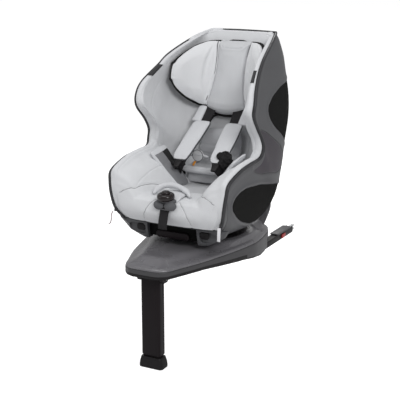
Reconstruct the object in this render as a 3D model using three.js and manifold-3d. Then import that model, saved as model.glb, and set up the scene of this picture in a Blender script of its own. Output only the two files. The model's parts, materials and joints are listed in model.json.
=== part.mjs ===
// Rotating convertible car seat on an anchored base with a support leg.
// Millimetres. +X across the seat, -Y to the front, +Z up. Pieces named "right" are on +X, the
// right-hand side seen from the front.
// Everything is laid out about the turntable axis, then moved so that the origin is the centre of
// the flat rear pad under the base, PAD_Y behind that axis.
import * as THREE from 'three';
import { mergeVertices } from 'three/addons/utils/BufferGeometryUtils.js';
import Module from 'manifold-3d';

const wasm = await Module();
wasm.setup();

// ---- driving dimensions ---------------------------------------------------
const GAP = 0.4;            // running clearance between neighbouring parts
const SHELL_WALL = 4;       // moulded shell wall
const FLANGE = 3.4;         // shell stands this far outside the fabric edge
const SHELL_SETBACK = 12;   // shell edge behind the fabric edge
const BASE_JOINT_Z = 57;    // joint plane between the two base housings
const DECK_Z = 72;          // top deck of the base
const RING_JOINT_Z = 75.2;  // top of the lower bearing ring
const RING_TOP_Z = 78.6;    // top of the upper bearing ring
const ANCHOR_X = 140;       // half of the 280 mm anchorage spacing
const LEG_Y = -347;         // support leg centre line
const LEG_AXIS_Z = 20;      // fold axis of the support leg
const RECLINE = { y: 10, z: 398, radius: 301.5 };  // arc of the cradle rails
const TURN_R = 140;         // turntable radius
const LOCK_Y = 124;         // rotation lock bolt
const BUCKLE_Y = -262;
const PAD_Y = 150;          // turntable axis to the centre of the rear underside pad
const HEAD_UP = [0, 0.3061, 0.9520];    // direction the headrest rises
const HEAD_OUT = [0, -0.9520, 0.3061];  // outward from the backrest plane
const HEAD_FOOT = [0, 179.6, 468];      // foot of the headrest on the backrest plane

// Stations along the bucket from the lower front edge of the cover to the top edge:
// rim x,y,z | visible centre y,z | hidden centre y,z | shell centre y,z |
// crest width | superellipse power of the visible face | power of the shell
const STATIONS = [
  [165, -232, 159, -250, 160, -225, 161, -200, 112, 30, 3, 2.2],
  [185, -253, 194, -264, 190, -241, 192, -200, 104, 34, 3, 2.2],
  [195, -261, 238, -264, 214, -240, 207, -195, 98, 34, 2.8, 2.4],
  [201, -259, 280, -256, 232, -228, 211, -185, 98, 34, 2.6, 2.6],
  [204, -245, 314, -235, 240, -197, 209, -150, 97.6, 34, 2.6, 3.2],
  [205, -166, 339, -160, 238, -140, 206, -80, 97.6, 34, 2.6, 4],
  [205, -95, 347, -80, 235, -60, 204, -10, 98.4, 34, 2.6, 4.6],
  [204, -28, 352, 10, 233, 40, 203, 86, 110, 34, 2.6, 5],
  [207, -10, 378, 75, 242, 108, 214, 148, 143, 34, 2.6, 5.2],
  [203, -14, 409, 112, 275, 139, 262, 200, 192, 34, 2.8, 5.6],
  [201, -43, 447, 130, 325, 157, 317, 234, 258, 34, 3, 6],
  [206, -85, 494, 150, 385, 176, 378, 256, 345, 30, 3.4, 6],
  [208, -82, 532, 172, 445, 198, 438, 280, 430, 24, 3.8, 6],
  [200, -57, 570, 193, 510, 219, 503, 292, 510, 18, 4.4, 6],
  [180, 10, 615, 215.5, 580, 241, 573, 296, 590, 14, 5, 6],
  [168, 70, 650, 235, 640, 260, 634, 295, 645, 14, 5, 5.5],
  [142, 193, 693, 251, 690, 272, 686, 290, 692, 14, 5, 5],
  [118, 270, 711, 258, 712, 277, 712, 288, 713, 14, 5, 4],
];
// columns of STATIONS where the centre y,z of each layer starts
const VISIBLE = 3;
const HIDDEN = 5;
const SHELL = 7;

// outline of the base, front to back: half width, y
const BASE = [
  [37, -405], [60, -396], [76, -380], [93, -337], [121, -265], [145, -180], [166, -93],
  [180, -4], [178, 50], [170, 104], [158, 158], [136, 196], [96, 217], [48, 224],
];

// colour, roughness, metalness (0 where left out)
const FINISH = {
  lowerHousing: [0x161617, 0.55],
  upperHousing: [0x5a5b5c, 0.45],
  bearing: [0x9a9c9e, 0.3, 1],
  steel: [0xa0a2a4, 0.3, 1],
  spindle: [0x8c8e90, 0.35, 1],
  latch: [0x9a9c9e, 0.35, 1],
  cradle: [0x1b1b1c, 0.5],
  shell: [0x5c5d5e, 0.42],
  rimTrim: [0x1d1d1e, 0.6],
  sideInsert: [0x1c1c1c, 0.7],
  sidePanel: [0x46424a, 0.5],
  frontBlock: [0x5c5d5e, 0.45],
  mattBlack: [0x121213, 0.6],
  cover: [0xc3c4c6, 0.95],
  liner: [0x3a3a3c, 0.9],
  lumbar: [0xc9cacc, 0.95],
  hipPad: [0x3b3b3e, 0.95],
  webbing: [0x18181a, 0.9],
  shoulderPad: [0xb9babd, 0.95],
  tongue: [0x141414, 0.45],
  disc: [0xb4b5b8, 0.4],
  crotchPad: [0xa5a6a9, 0.95],
  buckle: [0x151516, 0.25],
  buckleButton: [0x232325, 0.3],
  harnessButton: [0x18181a, 0.4],
  rotationButton: [0x1a1a1b, 0.5],
  reclineHandle: [0x242425, 0.5],
  headFrame: [0x2a2a2c, 0.6],
  headPad: [0xc6c7c9, 0.95],
  anchorArm: [0x232325, 0.5],
  armCover: [0x5f6061, 0.5],
  redButton: [0xa02a24, 0.45],
  outerTube: [0x161617, 0.38],
  innerTube: [0x2b2b2d, 0.4],
  legButton: [0x1f1f21, 0.5],
};

// ---- outlines ---------------------------------------------------------------
const lerp = (a, b, t) => a + (b - a) * t;
const range = (from, to, n) => Array.from({ length: n }, (_, i) => lerp(from, to, i / (n - 1)));
const level = (outline, z) => outline.map(([x, y]) => [x, y, z]);

function polar(radius, degrees) {
  const angle = degrees * Math.PI / 180;
  return [radius * Math.cos(angle), radius * Math.sin(angle)];
}

// rectangle, with its corners cut off when a chamfer is given
function rect(x0, x1, y0, y1, c = 0) {
  if (!c) return [[x0, y0], [x1, y0], [x1, y1], [x0, y1]];
  return [
    [x0 + c, y0], [x1 - c, y0], [x1, y0 + c], [x1, y1 - c],
    [x1 - c, y1], [x0 + c, y1], [x0, y1 - c], [x0, y0 + c],
  ];
}

function ellipse(cx, cy, rx, ry, n) {
  return Array.from({ length: n }, (_, i) => {
    const angle = i / n * 2 * Math.PI;
    return [cx + rx * Math.cos(angle), cy + ry * Math.sin(angle)];
  });
}

// ---- solids -----------------------------------------------------------------
// closed mesh, turned so that its faces point outward
function solid(points, triangles) {
  let volume = 0;
  for (const [a, b, c] of triangles) {
    const [ax, ay, az] = points[a];
    const [bx, by, bz] = points[b];
    const [cx, cy, cz] = points[c];
    volume += ax * (by * cz - bz * cy) - ay * (bx * cz - bz * cx) + az * (bx * cy - by * cx);
  }
  const geometry = new THREE.BufferGeometry();
  geometry.setAttribute('position', new THREE.Float32BufferAttribute(points.flat(), 3));
  geometry.setIndex(triangles.flatMap(([a, b, c]) => (volume > 0 ? [a, b, c] : [a, c, b])));
  geometry.computeVertexNormals();
  return geometry;
}

// closed solid between two matching point grids
function slab(gridA, gridB) {
  const rows = gridA.length;
  const cols = gridA[0].length;
  const T = [];
  const a = (i, j) => i * cols + j;
  const b = (i, j) => (rows + i) * cols + j;
  // the diagonals run mirror-wise on the two halves, so left and right come out alike
  for (let i = 0; i < rows - 1; i++) for (let j = 0; j < cols - 1; j++) {
    if (2 * j < cols - 1) {
      T.push([a(i, j), a(i + 1, j), a(i + 1, j + 1)], [a(i, j), a(i + 1, j + 1), a(i, j + 1)]);
      T.push([b(i, j), b(i + 1, j + 1), b(i + 1, j)], [b(i, j), b(i, j + 1), b(i + 1, j + 1)]);
    } else {
      T.push([a(i, j), a(i + 1, j), a(i, j + 1)], [a(i + 1, j), a(i + 1, j + 1), a(i, j + 1)]);
      T.push([b(i, j), b(i, j + 1), b(i + 1, j)], [b(i + 1, j), b(i, j + 1), b(i + 1, j + 1)]);
    }
  }
  const m = rows - 1;
  for (let j = 0; j < cols - 1; j++) {
    T.push([a(0, j), a(0, j + 1), b(0, j + 1)], [a(0, j), b(0, j + 1), b(0, j)]);
    T.push([a(m, j), b(m, j + 1), a(m, j + 1)], [a(m, j), b(m, j), b(m, j + 1)]);
  }
  const n = cols - 1;
  for (let i = 0; i < m; i++) {
    T.push([a(i, 0), b(i + 1, 0), a(i + 1, 0)], [a(i, 0), b(i, 0), b(i + 1, 0)]);
    T.push([a(i, n), a(i + 1, n), b(i + 1, n)], [a(i, n), b(i + 1, n), b(i, n)]);
  }
  return solid([...gridA.flat(), ...gridB.flat()], T);
}

// closed solid through a stack of matching rings
function loft(rings) {
  const n = rings[0].length;
  const points = rings.flat();
  const triangles = [];
  for (let i = 0; i < rings.length - 1; i++) for (let j = 0; j < n; j++) {
    const k = (j + 1) % n;
    const far = (i + 1) * n + k;
    triangles.push([i * n + j, i * n + k, far], [i * n + j, far, (i + 1) * n + j]);
  }
  const cap = (ring, start, flip) => {
    const centre = points.length;
    points.push([0, 1, 2].map(axis => ring.reduce((sum, p) => sum + p[axis], 0) / n));
    for (let j = 0; j < n; j++) {
      const a = start + j;
      const b = start + (j + 1) % n;
      triangles.push(flip ? [centre, b, a] : [centre, a, b]);
    }
  };
  cap(rings[0], 0, true);
  cap(rings[rings.length - 1], (rings.length - 1) * n, false);
  return solid(points, triangles);
}

// outline extruded along an axis: 'x' takes [y,z], 'y' takes [x,z], 'z' takes [x,y]
function prism(outline, axis, from, to) {
  const flat = outline.map(([p, q]) => new THREE.Vector2(p, q));
  if (THREE.ShapeUtils.area(flat) < 0) flat.reverse();
  const place = {
    x: w => p => [w, p.x, p.y],
    y: w => p => [p.x, w, p.y],
    z: w => p => [p.x, p.y, w],
  }[axis];
  const n = flat.length;
  const triangles = [];
  for (const [a, b, c] of THREE.ShapeUtils.triangulateShape(flat, [])) {
    triangles.push([a, c, b], [n + a, n + b, n + c]);
  }
  for (let i = 0; i < n; i++) {
    const j = (i + 1) % n;
    triangles.push([i, j, n + j], [i, n + j, n + i]);
  }
  return solid([...flat.map(place(from)), ...flat.map(place(to))], triangles);
}

const box = (x0, x1, y0, y1, z0, z1, chamfer = 0) =>
  prism(rect(x0, x1, y0, y1, chamfer), 'z', z0, z1);
const cylinder = (axis, [p, q], radius, from, to, n) =>
  prism(ellipse(p, q, radius, radius, n), axis, from, to);
// turned about the turntable axis; profile: radius, z
const turned = (profile, n) => loft(profile.map(([r, z]) => level(ellipse(0, 0, r, r, n), z)));

function toManifold(geometry) {
  const bare = geometry.clone();
  bare.deleteAttribute('normal');
  const merged = mergeVertices(bare, 1e-5);
  return new wasm.Manifold(new wasm.Mesh({
    numProp: 3,
    vertProperties: new Float32Array(merged.attributes.position.array),
    triVerts: new Uint32Array(merged.index.array),
  }));
}
function fromManifold(body) {
  const mesh = body.getMesh();
  const geometry = new THREE.BufferGeometry();
  geometry.setAttribute('position', new THREE.Float32BufferAttribute(mesh.vertProperties, 3));
  geometry.setIndex([...mesh.triVerts]);
  geometry.computeVertexNormals();
  return geometry;
}
const cut = (first, ...rest) =>
  fromManifold(rest.reduce((body, g) => body.subtract(toManifold(g)), toManifold(first)));
const join = (first, ...rest) =>
  fromManifold(rest.reduce((body, g) => body.add(toManifold(g)), toManifold(first)));

// mirror image across x = 0
function mirror(geometry) {
  const { index, attributes: { position } } = geometry;
  const points = [];
  const triangles = [];
  for (let i = 0; i < position.count; i++) {
    points.push([-position.getX(i), position.getY(i), position.getZ(i)]);
  }
  for (let i = 0; i < index.count; i += 3) {
    triangles.push([index.getX(i), index.getX(i + 2), index.getX(i + 1)]);
  }
  return solid(points, triangles);
}

const group = new THREE.Group();
group.name = 'convertible_car_seat';

function add(name, geometry, [color, roughness, metalness = 0]) {
  const material = new THREE.MeshStandardMaterial({ color, roughness, metalness });
  const mesh = new THREE.Mesh(geometry, material);
  mesh.name = name;
  group.add(mesh);
}
// adds every part on +X, then their mirror images on -X
function addPairs(...parts) {
  for (const [side, place] of [['right', g => g], ['left', mirror]]) {
    for (const [name, geometry, finish] of parts) add(`${name}_${side}`, place(geometry), finish);
  }
}

// ---- bucket surfaces ----------------------------------------------------------
// Cross-section of one layer at station t (fractions fall between table rows).
// place(x, d) is the point x across and d from the rim line towards the layer's centre.
function section(t, layer) {
  const i = Math.min(Math.floor(t), STATIONS.length - 2);
  const row = STATIONS[i].map((value, j) => lerp(value, STATIONS[i + 1][j], t - i));
  const [rimX, rimY, rimZ] = row;
  const [crest, coverPower, shellPower] = row.slice(9);
  const dy = row[layer] - rimY;
  const dz = row[layer + 1] - rimZ;
  const depth = Math.hypot(dy, dz);
  const place = (x, d) => [x, rimY + dy / depth * d, rimZ + dz / depth * d];
  return { rimX, crest, coverPower, shellPower, depth, place };
}
// point on a superellipse quarter: u 0 at the rim, 1 at the centre
function quarter(u, power) {
  const c = Math.cos(u * Math.PI / 2);
  const s = Math.sin(u * Math.PI / 2);
  const r = 1 / Math.pow(Math.abs(c) ** power + Math.abs(s) ** power, 1 / power);
  return [r * c, r * s];
}
// half rows run rim to centre on +X; a full row runs from -X to +X
const fullRow = half => [...half.map(([x, y, z]) => [-x, y, z]), ...half.slice(0, -1).reverse()];

function visibleRow(t) {
  const { rimX, crest, coverPower, depth, place } = section(t, VISIBLE);
  const rise = Math.min(1, depth / 80);
  const width = crest * Math.min(1, 0.25 + depth / 80);
  return fullRow([
    place(rimX, 0), place(rimX - width * 0.18, -6 * rise), place(rimX - width * 0.6, -8 * rise),
    ...range(0, 1, 7).map(u => {
      const [a, b] = quarter(u, coverPower);
      return place((rimX - width) * a, depth * b);
    }),
  ]);
}
const hiddenEdge = depth => Math.min(7, 0.5 * depth);
function hiddenPoint({ rimX, depth, place }, u, widen, deepen) {
  const [a, b] = quarter(u, 4);
  const edge = hiddenEdge(depth);
  return place((rimX + widen) * a, edge + (depth - edge) * b + deepen);
}
function hiddenRow(t) {
  const cross = section(t, HIDDEN);
  return fullRow([
    cross.place(cross.rimX - 0.3, hiddenEdge(cross.depth)),
    ...range(0, 1, 9).map(u => hiddenPoint(cross, u, -5.5, 0)),
  ]);
}
// outer surface of the moulded shell, moved outward by offset
function shellPoint(t, u, offset, setback = SHELL_SETBACK) {
  const { rimX, shellPower, depth, place } = section(t, SHELL);
  const [a, b] = quarter(u, shellPower);
  return place((rimX + FLANGE + offset) * a, Math.max(setback, (depth + offset) * b));
}
const SHELL_RUN = [3, 3.5, 4, 5, 6, 7, 8, 9, 10, 11, 12, 13, 14, 15, 16, 17];
const shellFace = (offset, setback) =>
  SHELL_RUN.map(t => fullRow(range(0, 1, 9).map(u => shellPoint(t, u, offset, setback))));

// ---- base -------------------------------------------------------------------
const spindleBore = cylinder('z', [0, 0], 18, 30, 80, 24);
const PIN_R = 4;

// box centred on the right-hand anchorage line
const anchorBox = (halfX, ...rest) => box(ANCHOR_X - halfX, ANCHOR_X + halfX, ...rest);

// base outline scaled about y = -60
function baseOutline(scale) {
  const right = BASE.map(([x, y]) => [x * scale, (y + 60) * scale - 60]);
  return [...right, ...right.map(([x, y]) => [-x, y]).reverse()];
}

function lowerHousing() {
  const underside = prism([
    [-460, 33], [-252, 33], [-66, 17], [60, 0], [300, 0], [300, -80], [-460, -80],
  ], 'x', -300, 300);
  const legRecess = box(-47, 47, -386, 82, -60, 50);
  const hingeLug = prism([
    [-366, 50.5], [-366, 20], [-358, 8], [-336, 8], [-328, 20], [-328, 50.5],
  ], 'x', 34.2, 46.6);
  const anchorSlot = anchorBox(20, -90, 300, -60, 19);
  const body = cut(prism(baseOutline(1), 'z', -30, BASE_JOINT_Z), underside, legRecess);
  return cut(join(body, hingeLug, mirror(hingeLug)),
    anchorSlot, mirror(anchorSlot),
    cylinder('x', [LEG_Y, LEG_AXIS_Z], PIN_R + 0.3, -60, 60, 12),
    spindleBore);
}

// rounded dome on the deck above the leg; rows: height fraction of the quarter circle, z
function deckDome() {
  return loft([[0, 60], [0.1, 74], [0.55, 83], [0.85, 86]].map(([k, z]) => {
    const scale = Math.sqrt(1 - k * k);
    return level(ellipse(0, -318, 52 * scale, 74 * scale, 20), z);
  }));
}

// curved upstand at the rear of the deck, lower towards its ends; profile: radius, z
function rearUpstand() {
  const profile = [[228, 66], [244, 90], [256, 106], [271, 130]];
  const [[footR, footZ]] = profile;
  const face = (outward, footDrop, drop) => range(56, 124, 13).map(degrees => {
    const rise = Math.min(1, (34 - Math.abs(degrees - 90)) / 8 + 0.4);
    return profile.map(([r, z], j) => [
      ...polar(lerp(footR, r, rise) + outward, degrees),
      lerp(footZ, z, rise) - (j === 0 ? footDrop : drop),
    ]);
  });
  return slab(face(0, 0, 0), face(9, 6, 2));
}

function upperHousing() {
  const deck = loft([[0.995, BASE_JOINT_Z + GAP], [0.985, 62], [0.95, 68], [0.88, DECK_Z]]
    .map(([scale, z]) => level(baseOutline(scale), z)));
  const upstandFoot = prism([
    ...range(48, 132, 13).map(degrees => polar(236, degrees)),
    ...range(132, 48, 13).map(degrees => polar(180, degrees)),
  ], 'z', BASE_JOINT_Z + GAP, 68);
  // raised lip round the turntable
  const collar = cut(turned([[168, 66], [168, 75], [165, 84], [160, 87]], 32),
    cylinder('z', [0, 0], TURN_R + 3.5, 60, 100, 32));
  return cut(join(deck, deckDome(), upstandFoot, rearUpstand(), collar), spindleBore);
}

const bearingRing = (z0, z1) => cut(
  cylinder('z', [0, 0], 110, z0, z1, 28),
  cylinder('z', [0, 0], 94, z0 - 1, z1 + 1, 28));

add('base_lower_housing', lowerHousing(), FINISH.lowerHousing);
add('base_upper_housing', upperHousing(), FINISH.upperHousing);
add('bearing_ring_lower', bearingRing(DECK_Z + GAP, RING_JOINT_Z), FINISH.bearing);
add('leg_hinge_pin', cylinder('x', [LEG_Y, LEG_AXIS_Z], PIN_R, -50, 50, 12), FINISH.steel);

// ---- turntable ----------------------------------------------------------------
const NECK_R = 8;  // upper end of the spindle
const BOLT_R = 5;

function turntableCradle() {
  const bottom = RING_TOP_Z + GAP;
  const disc = turned([[TURN_R - 3, bottom], [TURN_R, 82], [TURN_R, 86], [TURN_R - 3, 88]], 32);
  const arc = [172, 150, 125, 100, 75, 50, 25, 5, -8].map(y =>
    [y, RECLINE.z - Math.sqrt(RECLINE.radius ** 2 - (y - RECLINE.y) ** 2)]);
  const side = [[-8, 87], [112, 87], [130, 96], [168, 122], ...arc];
  return cut(join(disc, prism(side, 'x', 68, 82), prism(side, 'x', -82, -68)),
    cylinder('z', [0, 0], NECK_R + GAP, 70, 90, 16),
    cylinder('z', [0, LOCK_Y], BOLT_R + GAP, 70, 95, 14));
}
const spindle = join(
  cylinder('z', [0, 0], 17.4, 48, 78.5, 24),
  cylinder('z', [0, 0], NECK_R, 60, 87.6, 16),
  cylinder('z', [0, 0], 26, 46.4, 49.6, 24));

add('bearing_ring_upper', bearingRing(RING_JOINT_Z + GAP, RING_TOP_Z), FINISH.bearing);
add('turntable_cradle', turntableCradle(), FINISH.cradle);
add('turntable_spindle', spindle, FINISH.spindle);
add('rotation_lock_bolt', cylinder('z', [0, LOCK_Y], BOLT_R, 73.4, 91, 14), FINISH.steel);

// ---- seat shell and trims -------------------------------------------------------
// strip along both rims and across the top
function rimTrim() {
  const face = (outward, edge) => {
    const rows = [0, 0.5, 1, 1.5, 2, 2.5, ...SHELL_RUN].map(t => {
      const { rimX, place } = section(t, SHELL);
      return [place(rimX + outward, edge), place(rimX + outward, 8.4)];
    });
    const top = rows[rows.length - 1];
    const across = [0.96, 0.55, 0, -0.55, -0.96].map(k => {
      const bow = 1 - k * k;
      return top.map(([x, y, z]) => [x * k, y + bow * 6, z + 3.4 + bow * 1.2]);
    });
    const otherSide = rows.map(row => row.map(([x, y, z]) => [-x, y, z])).reverse();
    return [...rows, ...across, ...otherSide];
  };
  return slab(face(4.6, 0.4), face(0.6, 0));
}

// thin skin lying on the shell; rows: station, lowest and highest angle fraction from the rim
function shellSkin(rows) {
  const block = offset => toManifold(slab(shellFace(offset, SHELL_SETBACK - offset), shellFace(-30)));
  const patch = offset => rows.map(([t, low, high]) =>
    range(low, high, 5).map(u => shellPoint(t, u, offset)));
  const layer = block(2.6).subtract(block(GAP));
  return fromManifold(layer.intersect(toManifold(slab(patch(24), patch(-16)))));
}
const UPPER_INSERT = [
  [10.88, 0.5, 0.6], [10.95, 0.44, 0.67], [11.06, 0.371, 0.71], [11.18, 0.289, 0.73],
  [11.5, 0.214, 0.745], [12, 0.182, 0.75], [12.46, 0.208, 0.75], [12.78, 0.239, 0.745],
  [13.1, 0.296, 0.73], [13.3, 0.346, 0.71], [13.48, 0.428, 0.67], [13.6, 0.5, 0.6],
];
const LOWER_INSERT = [
  [3.95, 0.22, 0.26], [4.1, 0.195, 0.3], [4.4, 0.175, 0.37], [4.8, 0.17, 0.43],
  [5.5, 0.182, 0.48], [6.1, 0.2, 0.51], [6.7, 0.222, 0.53], [7.4, 0.277, 0.555],
  [8, 0.335, 0.575], [8.5, 0.39, 0.58], [8.8, 0.44, 0.57], [8.95, 0.48, 0.54],
];
const SIDE_PANEL = [
  [6.2, 0.05, 0.09], [6.8, 0.05, 0.14], [7.4, 0.05, 0.18], [8.2, 0.05, 0.26],
  [8.8, 0.05, 0.335], [9.33, 0.05, 0.396], [9.8, 0.05, 0.45], [10.1, 0.06, 0.465],
  [10.35, 0.09, 0.45], [10.48, 0.15, 0.4], [10.55, 0.2, 0.36],
];

// outline in x,z of the rotation button, widened all round by a margin
const buttonOutline = (margin, chamfer) =>
  rect(99 - margin, 129 + margin, 121 - margin, 143 + margin, chamfer);

// corner block under the front of the cover, with a pocket round the rotation button
function frontBlock() {
  const block = loft([
    level([[88, -219], [104, -218], [115, -209], [117, -192], [88, -192]], 106),
    level([[88, -226], [122, -224], [145, -212], [147, -202], [88, -202]], 130),
    level([[88, -230], [130, -229], [160, -226], [166, -216], [88, -214]], 157),
  ]);
  return cut(block, prism(buttonOutline(3, 7), 'y', -240, -214));
}

add('seat_shell', slab(shellFace(0), shellFace(-SHELL_WALL)), FINISH.shell);
add('rim_trim', rimTrim(), FINISH.rimTrim);
addPairs(
  ['side_insert_upper', shellSkin(UPPER_INSERT), FINISH.sideInsert],
  ['side_insert_lower', shellSkin(LOWER_INSERT), FINISH.sideInsert],
  ['side_panel', shellSkin(SIDE_PANEL), FINISH.sidePanel]);
addPairs(['front_block', frontBlock(), FINISH.frontBlock]);
add('front_centre_panel', box(-87, 87, -214, -206, 108, 157, 3), FINISH.mattBlack);

// ---- soft parts -------------------------------------------------------------------
const LOWER_RUN = [0, 0.6, 1, 1.5, 2, 2.5, 3, 3.5, 4, 5, 6, 7, 7.6];
const UPPER_RUN = [7.63, 8, 8.5, 9, 10, 11, 11.5, 12, 12.5, 13, 14, 15, 16, 17];
const LINER_RUN = [8, 8.5, 9, 10, 11, 11.5, 12, 12.5, 13, 14, 15];
const ACROSS = [-1, -0.9, -0.5, 0, 0.5, 0.9, 1];  // fractions of a cushion's half width

const coverPart = run => slab(run.map(visibleRow), run.map(hiddenRow));

// energy-absorbing liner behind the back cushion
function impactLiner() {
  const face = (deepen, widen) => LINER_RUN.map(t => {
    const cross = section(t, HIDDEN);
    return fullRow(range(0, 1, 9).slice(3).map(u => hiddenPoint(cross, u, widen, deepen)));
  });
  return slab(face(14, -1.8), face(1.2, -4.7));
}

// padded insert on the backrest; rows: z, stand-off, thickness, half width
function lumbarInsert() {
  const rows = [
    [272, 24, 6, 62], [284, 19, 18, 72], [304, 16, 25, 76], [328, 15, 26, 76],
    [352, 15, 24, 74], [374, 15, 17, 68], [388, 15, 5, 56],
  ];
  const bulge = [0.15, 0.6, 0.93, 1, 0.93, 0.6, 0.15];
  const face = fill => rows.map(([z, standOff, thickness, halfWidth]) => ACROSS.map((k, j) => {
    const d = standOff + fill * thickness * bulge[j];
    const planeY = 258 - 0.3215 * (712 - z);
    return [k * halfWidth, planeY + HEAD_OUT[1] * d, z + HEAD_OUT[2] * d];
  }));
  return slab(face(1), face(0));
}

function hipPad() {
  const face = footX => [272, 290, 312, 335, 350].map(z =>
    [-74, -30, 10, 36].map(y => [footX + (z - 262) * 0.2, y, z]));
  return slab(face(119), face(108));
}

// ---- harness ------------------------------------------------------------------------
// flat webbing 2 mm thick along a centre path; sides: direction of its width at each point
function ribbon(path, halfWidth, sides = path.map(() => [1, 0, 0])) {
  const faces = [[], []];
  path.forEach((point, i) => {
    const before = new THREE.Vector3(...path[Math.max(0, i - 1)]);
    const after = new THREE.Vector3(...path[Math.min(path.length - 1, i + 1)]);
    const along = after.sub(before).normalize();
    const side = new THREE.Vector3(...sides[i]);
    side.addScaledVector(along, -side.dot(along)).normalize();
    const normal = new THREE.Vector3().crossVectors(along, side).normalize();
    [1, -1].forEach((lift, k) => faces[k].push([-halfWidth, halfWidth].map(across =>
      new THREE.Vector3(...point).addScaledVector(side, across).addScaledVector(normal, lift)
        .toArray())));
  });
  return slab(...faces);
}

// webbing from the backrest down over the chest and out to the hip: x, y, z
const HARNESS_PATH = [
  [56, 161, 436], [57, 140, 435], [58, 110, 421], [61, 40, 374.5], [64, -20, 334.5],
  [66, -44, 318.5], [71, -49, 306], [80, -38, 290], [88, -14, 280], [92, 10, 274], [94, 34, 270],
];
const HARNESS_SIDES = [
  [1, 0, 0], [1, 0, 0], [1, 0, 0], [1, 0, 0], [1, 0, 0], [1, 0, 0],
  [0.95, 0.1, 0.3], [0.7, 0.2, 0.6], [0.4, 0.2, 0.9], [0.2, 0.2, 1], [0.1, 0.2, 1],
];
const ADJUSTER_PATH = [
  [0, -268, 211], [0, -272, 204], [0, -277, 192], [0, -282, 178], [0, -284, 166], [0, -283, 156],
];

// point beside the shoulder webbing: distance along its run and lift off its face
const STRAP_RUN = [-0.832, -0.555];    // y, z
const STRAP_LIFT = [-0.555, 0.832];
const onStrap = ([y, z], x, along, lift) => [
  x,
  y + STRAP_RUN[0] * along + STRAP_LIFT[0] * lift,
  z + STRAP_RUN[1] * along + STRAP_LIFT[1] * lift,
];

// rows: fraction of the pad's length, half width, fullness
function shoulderPad() {
  const rows = [
    [0, 17, 0.2], [0.06, 25, 0.7], [0.16, 30, 1], [0.4, 30, 1],
    [0.65, 28, 1], [0.88, 26, 1], [0.97, 21, 0.7], [1, 15, 0.3],
  ];
  const bulge = [0.15, 0.8, 1, 0.8, 0.15];
  const face = top => rows.map(([u, halfWidth, full]) => [-1, -0.86, 0, 0.86, 1].map((k, j) =>
    onStrap([104, 417], lerp(59, 68, u) + k * halfWidth, u * 170,
      top ? 2.6 + 12 * full * bulge[j] : 1.8)));
  return slab(face(true), face(false));
}

// rows: lift, half width
function harnessTongue() {
  return loft([[2, 7], [5, 9], [9, 8]].map(([lift, w]) =>
    [[-w - 4, 8], [-w, 0], [w, 0], [w + 4, 8], [w, 32], [-w, 32]]
      .map(([x, along]) => onStrap([-49, 315], 68 + x, along, lift))));
}

// rows: y, z of the underside, thickness
function crotchPad() {
  const rows = [[-254, 235.5, 5], [-236, 241.5, 7], [-200, 241.5, 7.5], [-158, 240.5, 5]];
  const bulge = [0.3, 0.9, 1, 0.9, 0.3];
  const face = fill => rows.map(([y, z, thickness]) => [-34, -28, 0, 28, 34].map((x, j) =>
    [x, y, z + 0.6 + fill * thickness * bulge[j]]));
  return slab(face(1), face(0));
}

const harnessYoke = prism([
  [-60, 300], [60, 300], [60, 314], [22, 318], [14, 340], [-14, 340], [-22, 318], [-60, 314],
], 'y', 186, 189);

add('seat_cover_lower', coverPart(LOWER_RUN), FINISH.cover);
add('seat_cover_upper', coverPart(UPPER_RUN), FINISH.cover);
add('impact_liner', impactLiner(), FINISH.liner);
add('lumbar_insert', lumbarInsert(), FINISH.lumbar);
addPairs(['hip_pad', hipPad(), FINISH.hipPad]);
addPairs(
  ['harness_webbing', ribbon(HARNESS_PATH, 18, HARNESS_SIDES), FINISH.webbing],
  ['shoulder_pad', shoulderPad(), FINISH.shoulderPad],
  ['harness_tongue', harnessTongue(), FINISH.tongue]);
add('tongue_holder_disc', cylinder('y', [-45, 325], 20, 44, 50, 20), FINISH.disc);
add('crotch_pad', crotchPad(), FINISH.crotchPad);
add('adjuster_webbing', ribbon(ADJUSTER_PATH, 15), FINISH.webbing);
add('harness_yoke', harnessYoke, FINISH.steel);

// ---- buckle ---------------------------------------------------------------------------
// round stack sheared so that it rises to the rear; profile: z, radius
const buckleStack = (centreY, profile, n) => loft(profile.map(([z, r]) =>
  ellipse(0, centreY, r, r, n).map(([x, y]) => [x, y, z + (y - BUCKLE_Y) * 0.25])));
const BUCKLE_BODY = [[245.5, 20], [248, 25.5], [258, 27.5], [264, 27], [267, 22]];
const BUCKLE_BUTTON = [[271.4, 12], [274.4, 12], [276.4, 9.5]];
const releaseButton = prism([
  [-13, 216], [13, 216], [15, 220], [13, 231], [-13, 231], [-15, 220],
], 'y', -276, -266.5);

add('buckle_body', buckleStack(BUCKLE_Y, BUCKLE_BODY, 24), FINISH.buckle);
add('buckle_button', buckleStack(BUCKLE_Y - 1, BUCKLE_BUTTON, 20), FINISH.buckleButton);
add('harness_release_button', releaseButton, FINISH.harnessButton);

// ---- front controls -------------------------------------------------------------------
const rotationButton = prism(buttonOutline(0, 5), 'y', -223.5, -218.4);
const reclineHandle = prism([
  [-58, 112], [-50, 108], [50, 108], [58, 112], [58, 124], [50, 130], [-50, 130], [-58, 124],
], 'y', -224, -214.6);

addPairs(['rotation_button', rotationButton, FINISH.rotationButton]);
add('recline_handle', reclineHandle, FINISH.reclineHandle);
add('recline_latch', box(-24, 24, -170, -120, 108, 120, 4), FINISH.latch);

// ---- headrest ---------------------------------------------------------------------------
// point x across, h up the backrest and d out from its plane
const onHead = (x, h, d) => [
  x,
  HEAD_FOOT[1] + HEAD_UP[1] * h + HEAD_OUT[1] * d,
  HEAD_FOOT[2] + HEAD_UP[2] * h + HEAD_OUT[2] * d,
];
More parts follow.
